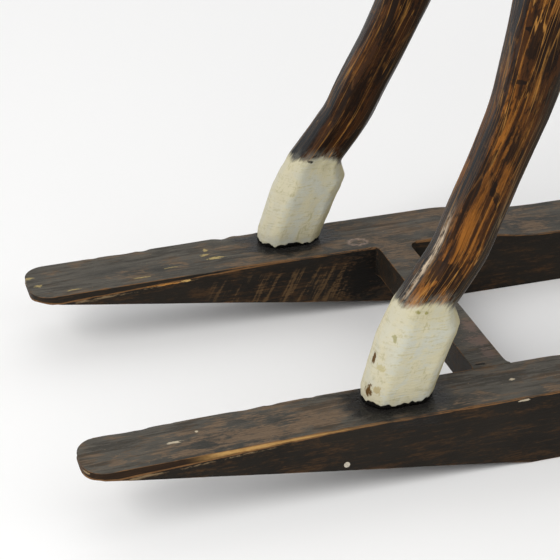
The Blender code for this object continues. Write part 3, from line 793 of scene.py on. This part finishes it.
class Wire:
    """An output of a shader node. Arithmetic on wires and numbers adds Math nodes."""

    def __init__(self, finish, socket):
        self.finish, self.socket = finish, socket

    def __add__(self, other):
        return self.finish.math("ADD", self, other)

    def __radd__(self, other):
        return self.finish.math("ADD", other, self)

    def __sub__(self, other):
        return self.finish.math("SUBTRACT", self, other)

    def __rsub__(self, other):
        return self.finish.math("SUBTRACT", other, self)

    def __mul__(self, other):
        return self.finish.math("MULTIPLY", self, other)

    def __rmul__(self, other):
        return self.finish.math("MULTIPLY", other, self)


class Finish:
    """A procedural finish: one material and the methods that add its nodes."""

    def __init__(self, name):
        self.material = bpy.data.materials.new(name)
        self.material.use_nodes = True
        self.tree = self.material.node_tree
        self.shader = self.tree.nodes["Principled BSDF"]

    def node(self, kind, settings, sockets, output=0):
        """Adds a node, sets it up, then fills its sockets with values or wires."""
        node = self.tree.nodes.new("ShaderNode" + kind)
        for name, value in settings.items():
            setattr(node, name, value)
        for name, value in sockets.items():
            self.feed(node.inputs[name], value)
        return Wire(self, node.outputs[output])

    def feed(self, socket, value):
        """Links a wire to a socket, or sets the socket's own value."""
        if isinstance(value, Wire):
            self.tree.links.new(value.socket, socket)
        elif isinstance(value, tuple) and len(value) == 3 and socket.type == "RGBA":
            socket.default_value = (*value, 1.0)
        else:
            socket.default_value = value

    def math(self, operation, a, b):
        return self.node("Math", {"operation": operation}, {0: a, 1: b})

    def most(self, a, b):
        return self.math("MAXIMUM", a, b)

    def place(self):
        """Object coordinates."""
        return self.node("TexCoord", {}, {}, "Object")

    def stored(self, name, output="Fac"):
        """A number or vector that the mesh keeps per vertex."""
        return self.node("Attribute", {"attribute_name": name}, {}, output)

    def part(self, vector, axis):
        """One component of a vector."""
        return self.node("SeparateXYZ", {}, {0: vector}, axis)

    def vector(self, operation, a, b):
        return self.node("VectorMath", {"operation": operation}, {0: a, 1: b})

    def noise(self, vector, scale, detail=4.0, roughness=0.55, warp=0.0):
        """Noise from 0 to 1, its scale given along each axis."""
        spread = self.vector("MULTIPLY", vector, scale)
        settings = {"Detail": detail, "Roughness": roughness, "Distortion": warp}
        return self.node("TexNoise", {}, {"Vector": spread, "Scale": 1.0, **settings})

    def step(self, value, low, high):
        """0 below low, 1 above high, and a smooth step between; low may be the larger."""
        settings = {"interpolation_type": "SMOOTHSTEP"}
        if low > high:
            return 1 - self.step(value, high, low)
        return self.node("MapRange", settings, {"Value": value, "From Min": low, "From Max": high})

    def mix(self, share, a, b):
        """Blends two colours."""
        return self.node("Mix", {"data_type": "RGBA"}, {0: share, 6: a, 7: b}, 2)

    def spot(self, vector, centre, radii, soft=0.4, ragged=None):
        """1 inside an ellipsoid, 0 outside, with a soft and, if a wire is given, ragged edge."""
        away = self.vector("SUBTRACT", vector, centre)
        scaled = self.vector("MULTIPLY", away, tuple(1 / radius for radius in radii))
        reach = self.node("VectorMath", {"operation": "LENGTH"}, {0: scaled}, 1)
        if ragged is not None:
            reach = reach + ragged
        return self.step(reach, 1 + soft, 1 - soft)

    def bump(self, height, distance, strength=1.0):
        """A normal from a height in shares of the distance."""
        return self.node("Bump", {}, {"Height": height, "Distance": distance, "Strength": strength})

    def window(self, value, start, full, last, end):
        """1 between full and last, fading to 0 at start and at end."""
        return self.step(value, start, full) * self.step(value, end, last)

    def strands(self, vector, scale, shift):
        """Distance from the contour lines of stretched noise, which run as long thin strands."""
        moved = self.vector("ADD", vector, (shift, 2.3 * shift, 0.7 * shift))
        return self.math("ABSOLUTE", self.noise(moved, scale, 1.0, 0.45) - 0.5, 0)

    def over(self, colour, *layers):
        """Lays layers over a colour in turn, each a share and a tint."""
        for share, tint in layers:
            colour = self.mix(share, colour, tint)
        return colour

    def touched(self, colour, vector, marks, ragged):
        """Lays a table of ragged marks over a colour."""
        for centre, radii, strength, tint in marks:
            mark = self.spot(vector, metres(centre), metres(radii), 0.25, ragged)
            colour = self.mix(mark * strength, colour, tint)
        return colour

    def raised(self, value, vector, places, soft):
        """Raises a value inside each soft ellipsoid of a table."""
        for centre, radii, amount in places:
            value = value + self.spot(vector, metres(centre), metres(radii), soft) * amount
        return value

    def done(self, colour, roughness, normal, **constants):
        """Feeds the shader and returns the material."""
        self.feed(self.shader.inputs["Base Color"], colour)
        self.feed(self.shader.inputs["Roughness"], roughness)
        self.feed(self.shader.inputs["Normal"], normal)
        for name, value in constants.items():
            self.feed(self.shader.inputs[name.replace("_", " ")], value)
        return self.material


BONE = (0.55, 0.47, 0.34)
TAN = (0.34, 0.235, 0.125)
STRAW = (0.4, 0.31, 0.13)
ROSE = (0.21, 0.135, 0.11)
BLACK = (0.006, 0.0055, 0.005)

# A ring-shaped scar on top of the right rocker
RING_PLACE = (-0.3005, 0.1153, 0.061)

# Paint drops, scratches and worn spots in millimetres: place, half sizes, strength and tint
ROCKER_MARKS = (
    ((-531, -136.8, 59), (5, 1.1, 10), 0.85, BONE),
    ((-512, -128.5, 59), (1.1, 1.1, 10), 0.9, BONE),
    ((-264.5, -134, 61), (1.7, 1.4, 10), 0.9, BONE),
    ((-598.5, -150, 56), (2, 6, 0.8), 0.7, TAN),
    ((-590, -159, 50), (5, 4, 0.7), 0.7, TAN),
    ((-576, -161, 47), (5, 4, 0.6), 0.7, TAN),
    ((-266, -160.9, 58.5), (3.5, 3, 0.7), 0.8, BONE),
    ((-588, 140, 58.5), (3.2, 1.6, 10), 0.8, STRAW),
    ((-582.5, 125, 58.5), (3, 1.6, 10), 0.8, STRAW),
    ((-555, 109, 58.5), (6, 0.8, 10), 0.8, STRAW),
    ((-497, 111, 59.5), (8, 0.8, 10), 0.8, STRAW),
    ((-469, 120, 60), (5, 0.8, 10), 0.6, STRAW),
    ((-432.6, 141.2, 60.5), (1.8, 3, 10), 0.85, STRAW),
    ((-435, 132, 60.5), (3.5, 1.8, 10), 0.85, STRAW),
    ((-428.5, 124.5, 60.5), (6, 1.7, 10), 0.9, STRAW),
    ((-476, 100.8, 55), (17, 2, 0.7), 0.9, (0.45, 0.2, 0.045)),
    ((-460, 100.8, 55.6), (4, 2, 0.9), 0.9, (0.55, 0.36, 0.13)),
    ((-263, -49, 61), (6, 9, 10), 0.45, ROSE),
    ((-265, -73, 61), (9, 8, 10), 0.5, ROSE),
    ((-265, -93, 61), (7, 6, 10), 0.45, ROSE),
    ((-280, -106.3, 61), (6, 1.3, 10), 0.9, BLACK),
    ((-302, 100.8, 35), (19, 3, 22), 0.75, BLACK),
    ((-590, 102, 54), (5, 5, 3.5), 0.8, BLACK),
)


def worn_rocker_paint():
    """Dark grey paint on the rockers and bars, rubbed through to brown wood, gold at the arrises; the tops
    are painted a lighter grey as painted light and painted sheen from above, and the sides near black as
    painted shade.
    """
    f = Finish("worn_rocker_paint")
    place = f.place()
    top, arris, drop = f.stored("top"), f.stored("arris"), f.stored("drop")
    x, y, z = (f.part(place, axis) for axis in "XYZ")
    broad = f.noise(place, (12, 26, 26), 4)
    patch = f.noise(place, (34, 75, 75), 6, 0.62, 0.5)
    fibre = f.noise(place, (45, 620, 620), 5, 0.68)
    streak = f.noise(place, (22, 240, 240), 5, 0.65, 0.4)
    tick = f.noise(place, (260, 800, 800), 3, 0.6)
    grit = (fibre - 0.5) * 0.7 + (tick - 0.5) * 0.5
    # Painted light and painted sheen: the dark paint of the tops is painted a lighter grey.
    top_paint_painted_lighter = f.mix(f.step(broad + grit * 0.4, 0.34, 0.66), (0.043, 0.041, 0.036), (0.108, 0.098, 0.081))
    brown = f.mix(fibre + (tick - 0.5) * 0.5, (0.062, 0.037, 0.021), (0.245, 0.172, 0.112))
    warmth = f.spot(place, (-0.455, -0.13, 0.061), (0.075, 0.035, 0.05), 0.5) * 0.1
    warmth = warmth + f.spot(place, (-0.27, 0.13, 0.061), (0.14, 0.05, 0.05), 0.5) * 0.08
    rubbed = f.step(patch + grit * 0.6 + warmth, 0.5, 0.66)
    grimy = f.step(broad * 0.6 + streak * 0.5 + grit * 0.3, 0.56, 0.68)
    spark = f.step(f.noise(place, (420, 420, 420), 2), 0.735, 0.775)
    worn_top_painted_lighter = f.over(
        top_paint_painted_lighter, (rubbed * 0.85, brown), (grimy * 0.65, (0.02, 0.018, 0.015)), (spark * 0.7, TAN),
    )
    # Painted shade: the same paint is painted near black on the sides.
    black = f.mix(broad + grit * 0.4, (0.008, 0.007, 0.006), (0.026, 0.021, 0.016))
    rust = f.mix(fibre + (tick - 0.5) * 0.4, (0.022, 0.01, 0.005), (0.09, 0.049, 0.022))
    scraped = f.step(streak * 0.5 + patch * 0.5 + grit * 0.6, 0.48, 0.68)
    slant = f.node("CombineXYZ", {}, {"X": x - z * 0.5, "Y": y, "Z": z})
    saw = f.noise(slant, (150, 10, 16), 3, 0.6)
    sawn = f.step(saw + grit * 0.35, 0.5, 0.62) * f.window(x, -0.45, -0.42, -0.325, -0.305)
    sawn = sawn * f.window(y, 0.09, 0.098, 0.102, 0.11) * f.window(z, 0.006, 0.014, 0.046, 0.054)
    worn_side_painted_darker = f.over(black, (scraped * 0.75, rust), (sawn * 0.6, (0.135, 0.078, 0.035)))
    near = f.step(y, -0.12, -0.14)
    on_side = 1 - top
    edge = drop + (streak - 0.5) * 0.9 + (fibre - 0.5) * 0.5
    gilt = f.step(edge, 1.0, 0.62) * f.window(x, -0.53, -0.495, -0.38, -0.345) * near * on_side
    gold = f.mix(fibre + (tick - 0.5) * 0.7, (0.2, 0.085, 0.02), (0.66, 0.41, 0.15))
    russet = f.mix(fibre + (tick - 0.5) * 0.5, (0.055, 0.024, 0.01), (0.29, 0.15, 0.06))
    chamfered = f.step(edge, 1.25, 1.0) * f.step(x, -0.33, -0.42) * near * on_side
    rim = f.step(arris + (patch - 0.5) * 1.2 + (fibre - 0.5) * 0.7, 0.58, 0.92)
    crease = f.step(f.math("ABSOLUTE", edge + (patch - 0.5) * 1.5 - 1.45, 0), 0.2, 0.06)
    crease = crease * f.window(x, -0.59, -0.575, -0.47, -0.44)
    crease = crease * f.step(patch + grit * 0.6, 0.42, 0.58) * on_side
    ring = f.spot(place, RING_PLACE, (0.0095, 0.007, 0.02), 0.2, (patch - 0.5) * 0.6)
    hole = f.spot(place, RING_PLACE, (0.006, 0.0035, 0.02), 0.3, (patch - 0.5) * 0.6)
    # The base colour: painted-lighter tops and painted-darker sides, chosen by the top mask.
    colour = f.over(
        f.mix(top, worn_side_painted_darker, worn_top_painted_lighter),
        (chamfered * 0.75, f.mix(fibre, (0.005, 0.004, 0.003), (0.045, 0.022, 0.01))),
        (rim * 0.85, russet), (gilt * 0.95, gold), (crease * 0.55, TAN),
        ((ring - hole) * f.step(tick, 0.4, 0.55) * 0.75, (0.33, 0.24, 0.19)),
    )
    colour = f.touched(colour, place, ROCKER_MARKS, (patch - 0.5) * 1.5 + (tick - 0.5) * 3.4)
    soot = 0
    for name, inset in HOOF_INSET.items():
        side = -1 if name.endswith("left") else 1
        middle = -HOOF_X if "front" in name else HOOF_X
        at = (middle - 0.002, side * (OVERALL_WIDTH / 2 - inset) - 0.002, SOLE_Z)
        soot = f.spot(place, at, (0.0415, 0.03, 0.02), 0.25, (patch - 0.5) * 1.2) + soot
    colour = f.mix(soot * 0.95, colour, f.mix(tick, BLACK, (0.014, 0.013, 0.012)))
    rough = 0.5 + (patch - 0.5) * 0.22 + (tick - 0.5) * 0.2 + soot * -0.26 + rim * 0.1
    height = fibre * 0.4 + patch * 0.35 + tick * 0.25 - rubbed * 0.08 + soot * (tick * 0.7 + patch * 1.2)
    normal = f.bump(height, 0.0013)
    gloss = {"Coat_Weight": soot * 0.22, "Coat_Roughness": 0.1}
    return f.done(colour, rough, normal, Specular_IOR_Level=0.07, **gloss)


AMBER = (0.31, 0.112, 0.016)

# Places on the near front leg that are worn more golden or burnt black, in millimetres
LEG_GOLD = (
    ((-311.3, -136, 199), (9, 12, 17), 0.12),
    ((-317.5, -136, 180), (7, 12, 17), 0.09),
    ((-300, -139, 176), (11, 12, 10), 0.11),
    ((-285, -129, 265), (10, 12, 50), 0.12),
)
LEG_BURNT = (
    ((-326.2, -139, 166), (8, 12, 6), 0.3),
    ((-319.5, -140, 156), (6, 12, 9), 0.2),
    ((-291.6, -135.3, 224), (2, 6, 3), 0.4),
    ((-290.5, -135.3, 229), (1.6, 6, 2), 0.4),
    ((-288.8, -135.5, 219), (2.2, 6, 3.6), 0.4),
    ((-266.1, -129.4, 340.9), (6, 6, 1.4), 0.4),
    ((-273.8, -129.4, 303.5), (5, 6, 1.2), 0.4),
    ((-258, -131, 330), (10, 8, 18), 0.12),
    ((-276, -131, 250), (6, 8, 14), 0.12),
)

OLIVE = (0.205, 0.19, 0.035)
UMBER = (0.085, 0.038, 0.004)

# Marks on the front hooves in millimetres: place, half sizes, strength and tint
HOOF_MARKS = (
    ((-346.8, -141.2, 137.3), (2.2, 4, 1.6), 0.75, OLIVE),
    ((-340.6, -141.5, 136.4), (1.6, 4, 1.6), 0.75, OLIVE),
    ((-363.6, -138.5, 116.8), (1.4, 4, 2.6), 0.6, OLIVE),
    ((-377.4, -129, 98.5), (2.8, 2, 4.8), 0.97, UMBER),
    ((-374.5, -138.3, 93), (3.6, 4, 2.6), 0.5, (0.36, 0.3, 0.1)),
    ((-382.2, -135.5, 74), (2.4, 4, 5.6), 0.97, UMBER),
    ((-377.5, -141, 76.2), (3, 4, 3.4), 0.6, (0.31, 0.225, 0.065)),
    ((-345.6, 114.8, 145), (2.2, 4, 1.2), 0.95, BLACK),
)


def carved_stain(name, leg):
    """Dark stain on carved wood, worn through to amber in long strands along the grain, with
    dark paint left at the edges, its blue-grey tint a painted reflection. On a leg, cream paint covers the
    hoof."""
    f = Finish(name)
    place = f.place()
    grain, ridge, across = f.stored("grain", "Vector"), f.stored("ridge"), f.stored("across")
    broad = f.noise(grain, (36, 36, 7), 3, 0.5, 0.4)
    blotch = f.noise(grain, (110, 110, 26), 5, 0.62, 0.5)
    streak = f.noise(grain, (260, 260, 10), 5, 0.62, 0.2)
    fibre = f.noise(grain, (760, 760, 26), 4, 0.66, 0.2)
    fleck = f.noise(grain, (520, 520, 240), 3, 0.6)
    grit = (fibre - 0.5) * 0.8 + (fleck - 0.5) * 0.5
    coarse, fine = f.strands(grain, (118, 118, 5.0), 0.0), f.strands(grain, (165, 165, 6.5), 3.7)
    lines = f.math("MINIMUM", coarse, fine * 1.25)
    thin = f.step(lines + (fleck - 0.5) * 0.024, 0.017, 0.004)
    halo = f.step(lines, 0.13, 0.02)
    far = f.step(f.part(place, "Y"), 0.02, 0.06) if leg else 0
    fore = f.step(across + (broad - 0.5) * 0.3 + (streak - 0.5) * 0.25 + grit * 0.1, -0.88, -0.99)
    rear = f.step(across + (broad - 0.5) * 0.4 + (streak - 0.5) * 0.5 + grit * 0.1, 0.16, 0.52)
    gilded = halo * 0.3 + streak * 0.5 + broad * 0.45 + grit * 0.45 - across * 0.11
    burning = blotch * 0.75 + fleck * 0.25 + (streak - 0.5) * 0.3
    if leg:
        high = f.step(f.part(place, "Z"), 0.24, 0.36)
        gilded = gilded + (blotch - 0.5) * 0.2 - far * 0.12 - high * 0.07
        burning = burning + high * 0.03 + far * 0.03
        gilded = f.raised(gilded, place, LEG_GOLD, 0.7)
        burning = f.raised(burning, place, LEG_BURNT, 0.5)
    glow, burnt = f.step(gilded, 0.62, 0.92), f.step(burning, 0.475, 0.565)
    lit = f.step(broad + grit * 0.4, 0.34, 0.58)
    amber = f.mix(fibre + streak * 0.3 - (blotch - 0.5) * 1.3, (0.07, 0.022, 0.0045), AMBER)
    gold = f.mix(fibre, (0.25, 0.095, 0.016), (0.52, 0.265, 0.062))
    wood = f.over(
        f.mix(blotch + grit * 0.5, (0.009, 0.0042, 0.0018), (0.08, 0.028, 0.0065)),
        (glow * (0.92 if leg else 0.7), amber), (burnt * 0.85, (0.0045, 0.0028, 0.002)),
        (thin * lit * (0.85 if leg else 0.5), gold),
    )
    # Dark paint left on the fore facets, partly real, tinted blue-grey as a painted reflection of the sky.
    dark_paint_and_painted_sheen = f.mix(broad + grit * 0.3, (0.013, 0.015, 0.017), (0.032, 0.034, 0.036))
    dark_paint_and_painted_sheen = f.mix(thin * 0.6, dark_paint_and_painted_sheen, (0.19, 0.105, 0.04))
    drab = f.mix(streak + grit * 0.6, (0.008, 0.0065, 0.005), (0.044, 0.034, 0.023))
    drab = f.over(drab, (thin * 0.4, (0.22, 0.17, 0.098)), (far * 0.7, (0.01, 0.007, 0.004)))
    crest = f.step(ridge + grit + (streak - 0.5) * 0.6, 0.8, 1.1)
    colour = f.over(wood, (fore * 0.95, dark_paint_and_painted_sheen), (rear * 0.85, drab), (crest * 0.22, (0.32, 0.14, 0.034)))
    rough = 0.36 + grit * 0.2 + thin * 0.08
    height = fibre * 0.4 + streak * 0.25 + thin * 0.2 + blotch * 0.2 - burnt * 0.1
    if not leg:
        for side in SIDES.values():
            eye = f.spot(place, tuple(on_head(EYE_PLACE, side)), (0.0105, 0.02, 0.0095), 0.08)
            nostril = f.spot(place, tuple(on_head(NOSTRIL_PLACE, side)), (0.006, 0.01, 0.005), 0.3)
            colour = f.mix(f.most(eye, nostril * 0.9), colour, (0.004, 0.0035, 0.003))
            rough = rough + (0.08 - rough) * eye
        return f.done(colour, rough, f.bump(height, 0.0011), Specular_IOR_Level=0.09)
    v, out = f.part(grain, "Z"), f.part(grain, "Y")
    near = f.step(f.part(place, "Y"), -0.04, -0.06) * f.step(f.part(place, "X"), -0.1, -0.2)
    # A pale strip on the near front leg's fore corner: scraped paint with a painted highlight on it.
    scrape_and_highlight_strip = f.window(v, 0.078, 0.088, 0.122, 0.156) * near * f.step(across, -0.8, -0.94)
    scrape_and_highlight_strip = scrape_and_highlight_strip * f.window(out + grit * 0.003, 0.0005, 0.003, 0.0062, 0.0085)
    # The strip's pale colour is partly scraped paint and partly a painted highlight.
    scraped = f.mix(fibre * 1.4 + (fleck - 0.5) * 0.9 - 0.2, (0.04, 0.03, 0.024), (0.66, 0.52, 0.37))
    colour = f.mix(scrape_and_highlight_strip * f.step(fibre + streak + fleck, 1.3, 1.55), colour, scraped)
    lap = v + (streak - 0.5) * 0.01 + (fleck - 0.5) * 0.006 + across * 0.005 + across * across * 0.008
    lap = lap - far * 0.004
    scallop = f.noise(grain, (150, 150, 30), 1, 0.4)
    sole = v + (scallop - 0.5) * 0.009 + (fleck - 0.5) * 0.0006
    above = f.step(sole, 0.0026, 0.0034)
    paint = f.step(lap, 0.0835, 0.0785) * above
    haze = f.noise(grain, (70, 70, 45), 4, 0.6, 0.4)
    brush = f.noise(grain, (90, 90, 640), 4, 0.62, 0.5)
    # Mask of the hoof's rear facets, which are given partly painted shade.
    rim = f.step(across + (haze - 0.5) * 0.4, 0.5, 0.9)
    collar = f.step(lap, 0.058, 0.076)
    smudge = f.step(haze * 0.6 + blotch * 0.4 + (fleck - 0.5) * 0.35, 0.585, 0.66)
    speck = f.step(f.noise(grain, (600, 600, 500), 2), 0.73, 0.78)
    cloud = f.step(haze + (brush - 0.5) * 0.5, 0.38, 0.62)
    cream = f.over(
        f.mix(cloud, (0.485, 0.486, 0.408), (0.535, 0.495, 0.34)),
        # Rear facets and the paint's upper band darker and yellower: partly real paint tone, and on the
        # rear facets partly painted shade.
        (f.most(rim * 0.85, collar * 0.35), (0.44, 0.388, 0.222)),
        # Fore facets a little lighter: painted light.
        (f.step(across, -0.55, -0.85) * 0.5, (0.54, 0.5, 0.375)),
        (f.step(brush + (fleck - 0.5) * 0.5, 0.52, 0.68) * 0.6, (0.385, 0.362, 0.24)),
        (smudge * 0.45, (0.31, 0.285, 0.15)), (speck * 0.55, (0.2, 0.16, 0.08)),
    )
    cream = f.touched(cream, place, HOOF_MARKS, (haze - 0.5) * 1.5 + (fleck - 0.5) * 2.8)
    wash = f.step(lap, 0.094, 0.08) * f.step(streak + (fleck - 0.5) * 0.9, 0.4, 0.62)
    colour = f.over(colour, (wash * 0.42, (0.3, 0.29, 0.24)), (1 - above, BLACK), (paint, cream))
    rough = rough + (0.58 - rough) * paint + (1 - above) * -0.1
    height = height + (0.55 + brush * 0.3 + haze * 0.15 - smudge * 0.06 - height) * paint
    return f.done(colour, rough, f.bump(height, 0.0013), Specular_IOR_Level=0.09)


def old_nail():
    """Pale paint on iron, darker where it is chipped."""
    f = Finish("pale_nail")
    chips = f.step(f.noise(f.place(), (900, 900, 900), 3), 0.55, 0.65)
    colour = f.mix(chips * 0.5, (0.5, 0.45, 0.36), (0.14, 0.11, 0.08))
    return f.done(colour, 0.45 + chips * 0.2, f.bump(chips, 0.0002))


# Stage


def make_stage():
    """A pale floor that runs out of view in every direction."""
    bpy.ops.mesh.primitive_plane_add(size=60, location=(0, 0, -0.0002))
    floor = bpy.context.object
    floor.name = "floor"
    f = Finish("pale_floor")
    f.shader.inputs["Base Color"].default_value = (0.93, 0.93, 0.93, 1)
    f.shader.inputs["Roughness"].default_value = 0.9
    f.shader.inputs["Specular IOR Level"].default_value = 0.1
    floor.data.materials.append(f.material)


def aim(name, data, place, back):
    """Puts a lamp or camera at a place, looking against the vector back, with its top edge level."""
    back = np.array(back) / np.linalg.norm(back)
    side = np.cross((0, 0, 1), back)
    side /= np.linalg.norm(side)
    turn = Matrix(np.stack([side, np.cross(back, side), back], axis=-1).tolist()).to_4x4()
    thing = bpy.data.objects.new(name, data)
    bpy.context.scene.collection.objects.link(thing)
    thing.matrix_world = Matrix.Translation(place) @ turn
    return thing


def make_lights():
    """A bright even room with square soft boxes: a key from the front left and a weak fill."""
    scene = bpy.context.scene
    scene.world = bpy.data.worlds.new("studio")
    scene.world.use_nodes = True
    background = scene.world.node_tree.nodes["Background"]
    background.inputs["Color"].default_value = (1, 1, 1, 1)
    background.inputs["Strength"].default_value = ROOM
    for name, place, target, size, power, colour in LAMPS:
        data = bpy.data.lights.new(name, "AREA")
        data.shape = "SQUARE"
        data.size = size
        data.energy = power
        data.color = colour
        aim(name, data, place, np.subtract(place, target))
    scene.view_settings.view_transform = "Standard"
    scene.view_settings.look = "None"


def make_camera():
    """The photograph's viewpoint: a long lens, from the horse's left and a little above."""
    data = bpy.data.cameras.new("camera")
    data.sensor_width = 36
    data.lens = CAMERA_LENS
    data.clip_end = 100
    level = math.cos(CAMERA_ELEVATION)
    back = (math.sin(CAMERA_AZIMUTH) * level, -math.cos(CAMERA_AZIMUTH) * level, math.sin(CAMERA_ELEVATION))
    bpy.context.scene.camera = aim("camera", data, CAMERA_PLACE, back)


def main():
    """Builds every visible piece, the stage, the lights and the camera."""
    make_camera()
    make_lights()
    make_stage()
    paint = worn_rocker_paint()
    hoofed = carved_stain("carved_legs", True)
    stain = carved_stain("carved_stain", False)
    for side in SIDES:
        make_rocker(side, paint)
        for pair, hoof_x, fore_edge, rear_edge, grid in LEGS:
            make_leg(pair + side, side, hoof_x, fore_edge, rear_edge, grid, hoofed)
    make_crossbar("crossbar_front", -BAR_X, paint)
    make_crossbar("crossbar_rear", BAR_X, paint)
    make_body(stain)
    make_neck_and_head(stain)
    make_tail(stain)
    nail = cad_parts["nail_rocker_left"]
    nail.data.materials.clear()
    nail.data.materials.append(old_nail())


main()
